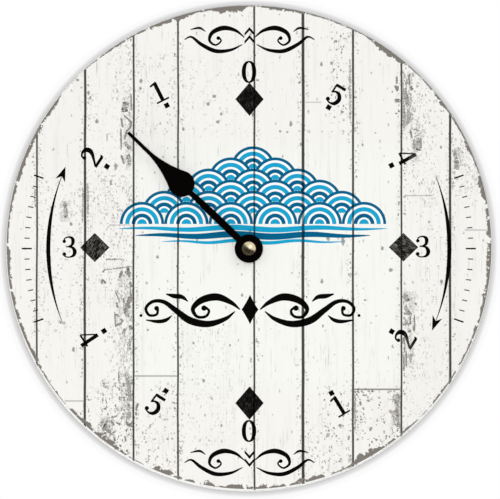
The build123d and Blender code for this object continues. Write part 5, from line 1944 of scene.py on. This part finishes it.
@dataclass
class Studio:
    """The camera, the lamps, the white wall with a painted soft shadow round the dial, the pale floor and
    the world.
    """

    distance: float = 3.0
    view_width: float = 0.2740
    sensor: float = 36.0
    wall_gap: float = 0.0004
    wall_half: float = 1.6
    # A painted shadow on the wall: radii from the dial's middle in metres, each with its grey, darkest just
    # outside the board's edge.
    painted_shadow_ring: tuple[tuple[float, str], ...] = (
        (0.1343, "C4C4C4"), (0.1353, "DADADA"), (0.1378, "FAFAFA"), (0.141, "FFFFFF")
    )
    floor_drop: float = 0.62
    floor_radius: float = 1.5
    floor_colours: tuple[Colour, Colour] = (ink("EEEDEB"), ink("F3F2F0"))
    surround: float = 0.25
    card_colour: Colour = ink("34322A")
    card_near: float = -0.012
    card_far: float = -2.8
    card_low: float = -0.36
    card_top: float = 0.6
    card_left: float = -0.6
    card_right: float = 1.1
    lamps: tuple[Lamp, ...] = (
        Lamp("front_lamp", (-0.05, -3.1, 0.12), 0.8, 51.6, shines=False),
        Lamp("key_lamp", (1.3, -2.3, 1.7), 1.5, 12.0),
        Lamp("fill_lamp", (-1.5, -2.4, 1), 1.5, 7.0, shines=False),
        Lamp("rear_key_lamp", (-1.2, 2.4, 1.6), 1.5, 55.0),
        Lamp("rear_fill_lamp", (1.7, 2.2, 0.5), 1.5, 18.0),
    )

    def camera(self, print_face: float) -> None:
        """Places the camera square to the dial, so that the view's width fits the photograph's."""
        data = bpy.data.cameras.new("camera")
        data.sensor_width = self.sensor
        data.lens = self.sensor * self.distance / self.view_width
        data.dof.use_dof = False
        camera = bpy.data.objects.new("camera", data)
        bpy.context.scene.collection.objects.link(camera)
        column, row = PHOTO.width / 2, PHOTO.height / 2
        camera.location = (PHOTO.across(column), -print_face - self.distance, PHOTO.up(row))
        camera.rotation_euler = (math.pi / 2, 0.0, 0.0)
        bpy.context.scene.camera = camera

    def world(self) -> None:
        """Makes the world white to the eye and in reflections, and softer as a light."""
        world = bpy.data.worlds.new("studio")
        bpy.context.scene.world = world
        world.use_nodes = True
        world.node_tree.nodes.clear()
        sheet = NodeSheet(world.node_tree)
        path = sheet.add("ShaderNodeLightPath")
        seen = sheet.math("ADD", path.outputs["Is Camera Ray"], path.outputs["Is Glossy Ray"])
        seen = sheet.math("ADD", seen, path.outputs["Is Transmission Ray"], clamp=True)
        soft = (self.surround, self.surround, self.surround, 1.0)
        light = sheet.wire("ShaderNodeBackground", sheet.mix(seen, soft, WHITE))
        output = sheet.add("ShaderNodeOutputWorld")
        sheet.feed(output.inputs["Surface"], light)

    def panel(self, name: str, corners: list[Place], material: Material) -> bpy.types.Object:
        """Adds one flat stage panel with the given corners.

        Args:
            name: The panel's name.
            corners: Its corners, counterclockwise from the side it faces.
            material: Its material.

        Returns:
            The panel's object.
        """
        mesh = bpy.data.meshes.new(name)
        mesh.from_pydata(corners, [], [tuple(range(len(corners)))])
        mesh.materials.append(material)
        panel = bpy.data.objects.new(name, mesh)
        bpy.context.scene.collection.objects.link(panel)
        return panel

    def show_front(self, sheet: NodeSheet, shown: Socket, surface: Socket) -> None:
        """Ends a stage material: its surface where a mask shows it from its front, and clear elsewhere.

        Args:
            sheet: The material's sheet.
            shown: The mask.
            surface: The surface's shader.
        """
        clear = sheet.add("ShaderNodeBsdfTransparent")
        geometry = sheet.add("ShaderNodeNewGeometry")
        front = sheet.less(1.0, geometry.outputs["Backfacing"])
        blend = sheet.wire("ShaderNodeMixShader", sheet.times(shown, front), clear.outputs[0], surface)
        output = sheet.add("ShaderNodeOutputMaterial")
        sheet.feed(output.inputs["Surface"], blend)

    def wall_material(self) -> Material:
        """White paper that only the eye sees, from its front, with a painted shadow: greyer close round the
        board.
        """
        material = blank_material("wall_paper")
        sheet = NodeSheet(material.node_tree)
        right, _back, up = sheet.axes(sheet.add("ShaderNodeTexCoord").outputs["Object"])
        radius = sheet.math("SQRT", sheet.square_sum(right, up))
        # Painted shadow: the emitted colour steps from grey by the board's edge to white further out.
        colour: Value = ink(self.painted_shadow_ring[0][1])
        for (start, _first), (end, second) in zip(self.painted_shadow_ring, self.painted_shadow_ring[1:]):
            colour = sheet.mix(sheet.fade(radius, start, end), colour, ink(second))
        eye = sheet.add("ShaderNodeLightPath").outputs["Is Camera Ray"]
        self.show_front(sheet, eye, sheet.wire("ShaderNodeEmission", colour))
        return material

    def floor_material(self) -> Material:
        """Pale matt floor that fades into the white round it and can be seen through from below."""
        material = blank_material("pale_floor")
        sheet = NodeSheet(material.node_tree)
        place = sheet.add("ShaderNodeTexCoord").outputs["Object"]
        length = sheet.add("ShaderNodeVectorMath", operation="LENGTH")
        sheet.feed(length.inputs[0], sheet.stretch(place, (1, 1, 0)))
        near = sheet.fade(length.outputs["Value"], self.floor_radius, self.floor_radius * 0.4)
        colour = sheet.mix(sheet.noise(place, 60.0, 4.0), *self.floor_colours)
        self.show_front(sheet, near, sheet.wire("ShaderNodeBsdfDiffuse", colour))
        return material

    def card_material(self) -> Material:
        """Dark felt, for the cards that only reflections see."""
        material = bpy.data.materials.new("dark_card")
        material.use_nodes = True
        shader = material.node_tree.nodes["Principled BSDF"]
        shader.inputs["Base Color"].default_value = self.card_colour
        shader.inputs["Specular IOR Level"].default_value = 0.0
        return material

    def build(self, print_face: float) -> None:
        """Sets up the whole studio."""
        scene = bpy.context.scene
        scene.view_settings.view_transform = "Standard"
        self.camera(print_face)
        self.world()
        for lamp in self.lamps:
            lamp.hang()
        half, gap, drop = self.wall_half, self.wall_gap, self.floor_drop
        wall = [(-half, gap, -drop), (half, gap, -drop), (half, gap, half), (-half, gap, half)]
        self.panel("wall_paper", wall, self.wall_material())
        side = self.floor_radius
        floor = [(-side, -side, -drop), (side, -side, -drop), (side, side, -drop), (-side, side, -drop)]
        self.panel("pale_floor", floor, self.floor_material())
        near, far, low, top = self.card_near, self.card_far, self.card_low, self.card_top
        west, east = self.card_left, self.card_right
        below = [(west, far, low), (east, far, low), (east, near, low), (west, near, low)]
        left = [(west, far, low), (west, near, low), (west, near, top), (west, far, top)]
        for name, corners in (("dark_card_below", below), ("dark_card_left", left)):
            card = self.panel(name, corners, self.card_material())
            card.visible_camera = False
            card.visible_diffuse = False
            card.visible_shadow = False
            card.visible_transmission = False
        LOG.info("studio ready: lens %.1f mm", scene.camera.data.lens)


def main() -> None:
    """Builds and dresses every sub-assembly in order."""
    logging.basicConfig(level=logging.INFO, format="%(name)s: %(message)s")
    shop = Workshop()
    print_face = DialFace().build(shop)
    PaintScuffs(print_face).build(shop)
    DialMarks(print_face).build(shop)
    ScaleOrnament(print_face).build(shop)
    PenFlourishes(print_face).build(shop)
    HandSet().build(shop)
    Movement().build(shop)
    Cell().build(shop)
    Studio().build(print_face)


if __name__ == "__main__":
    main()
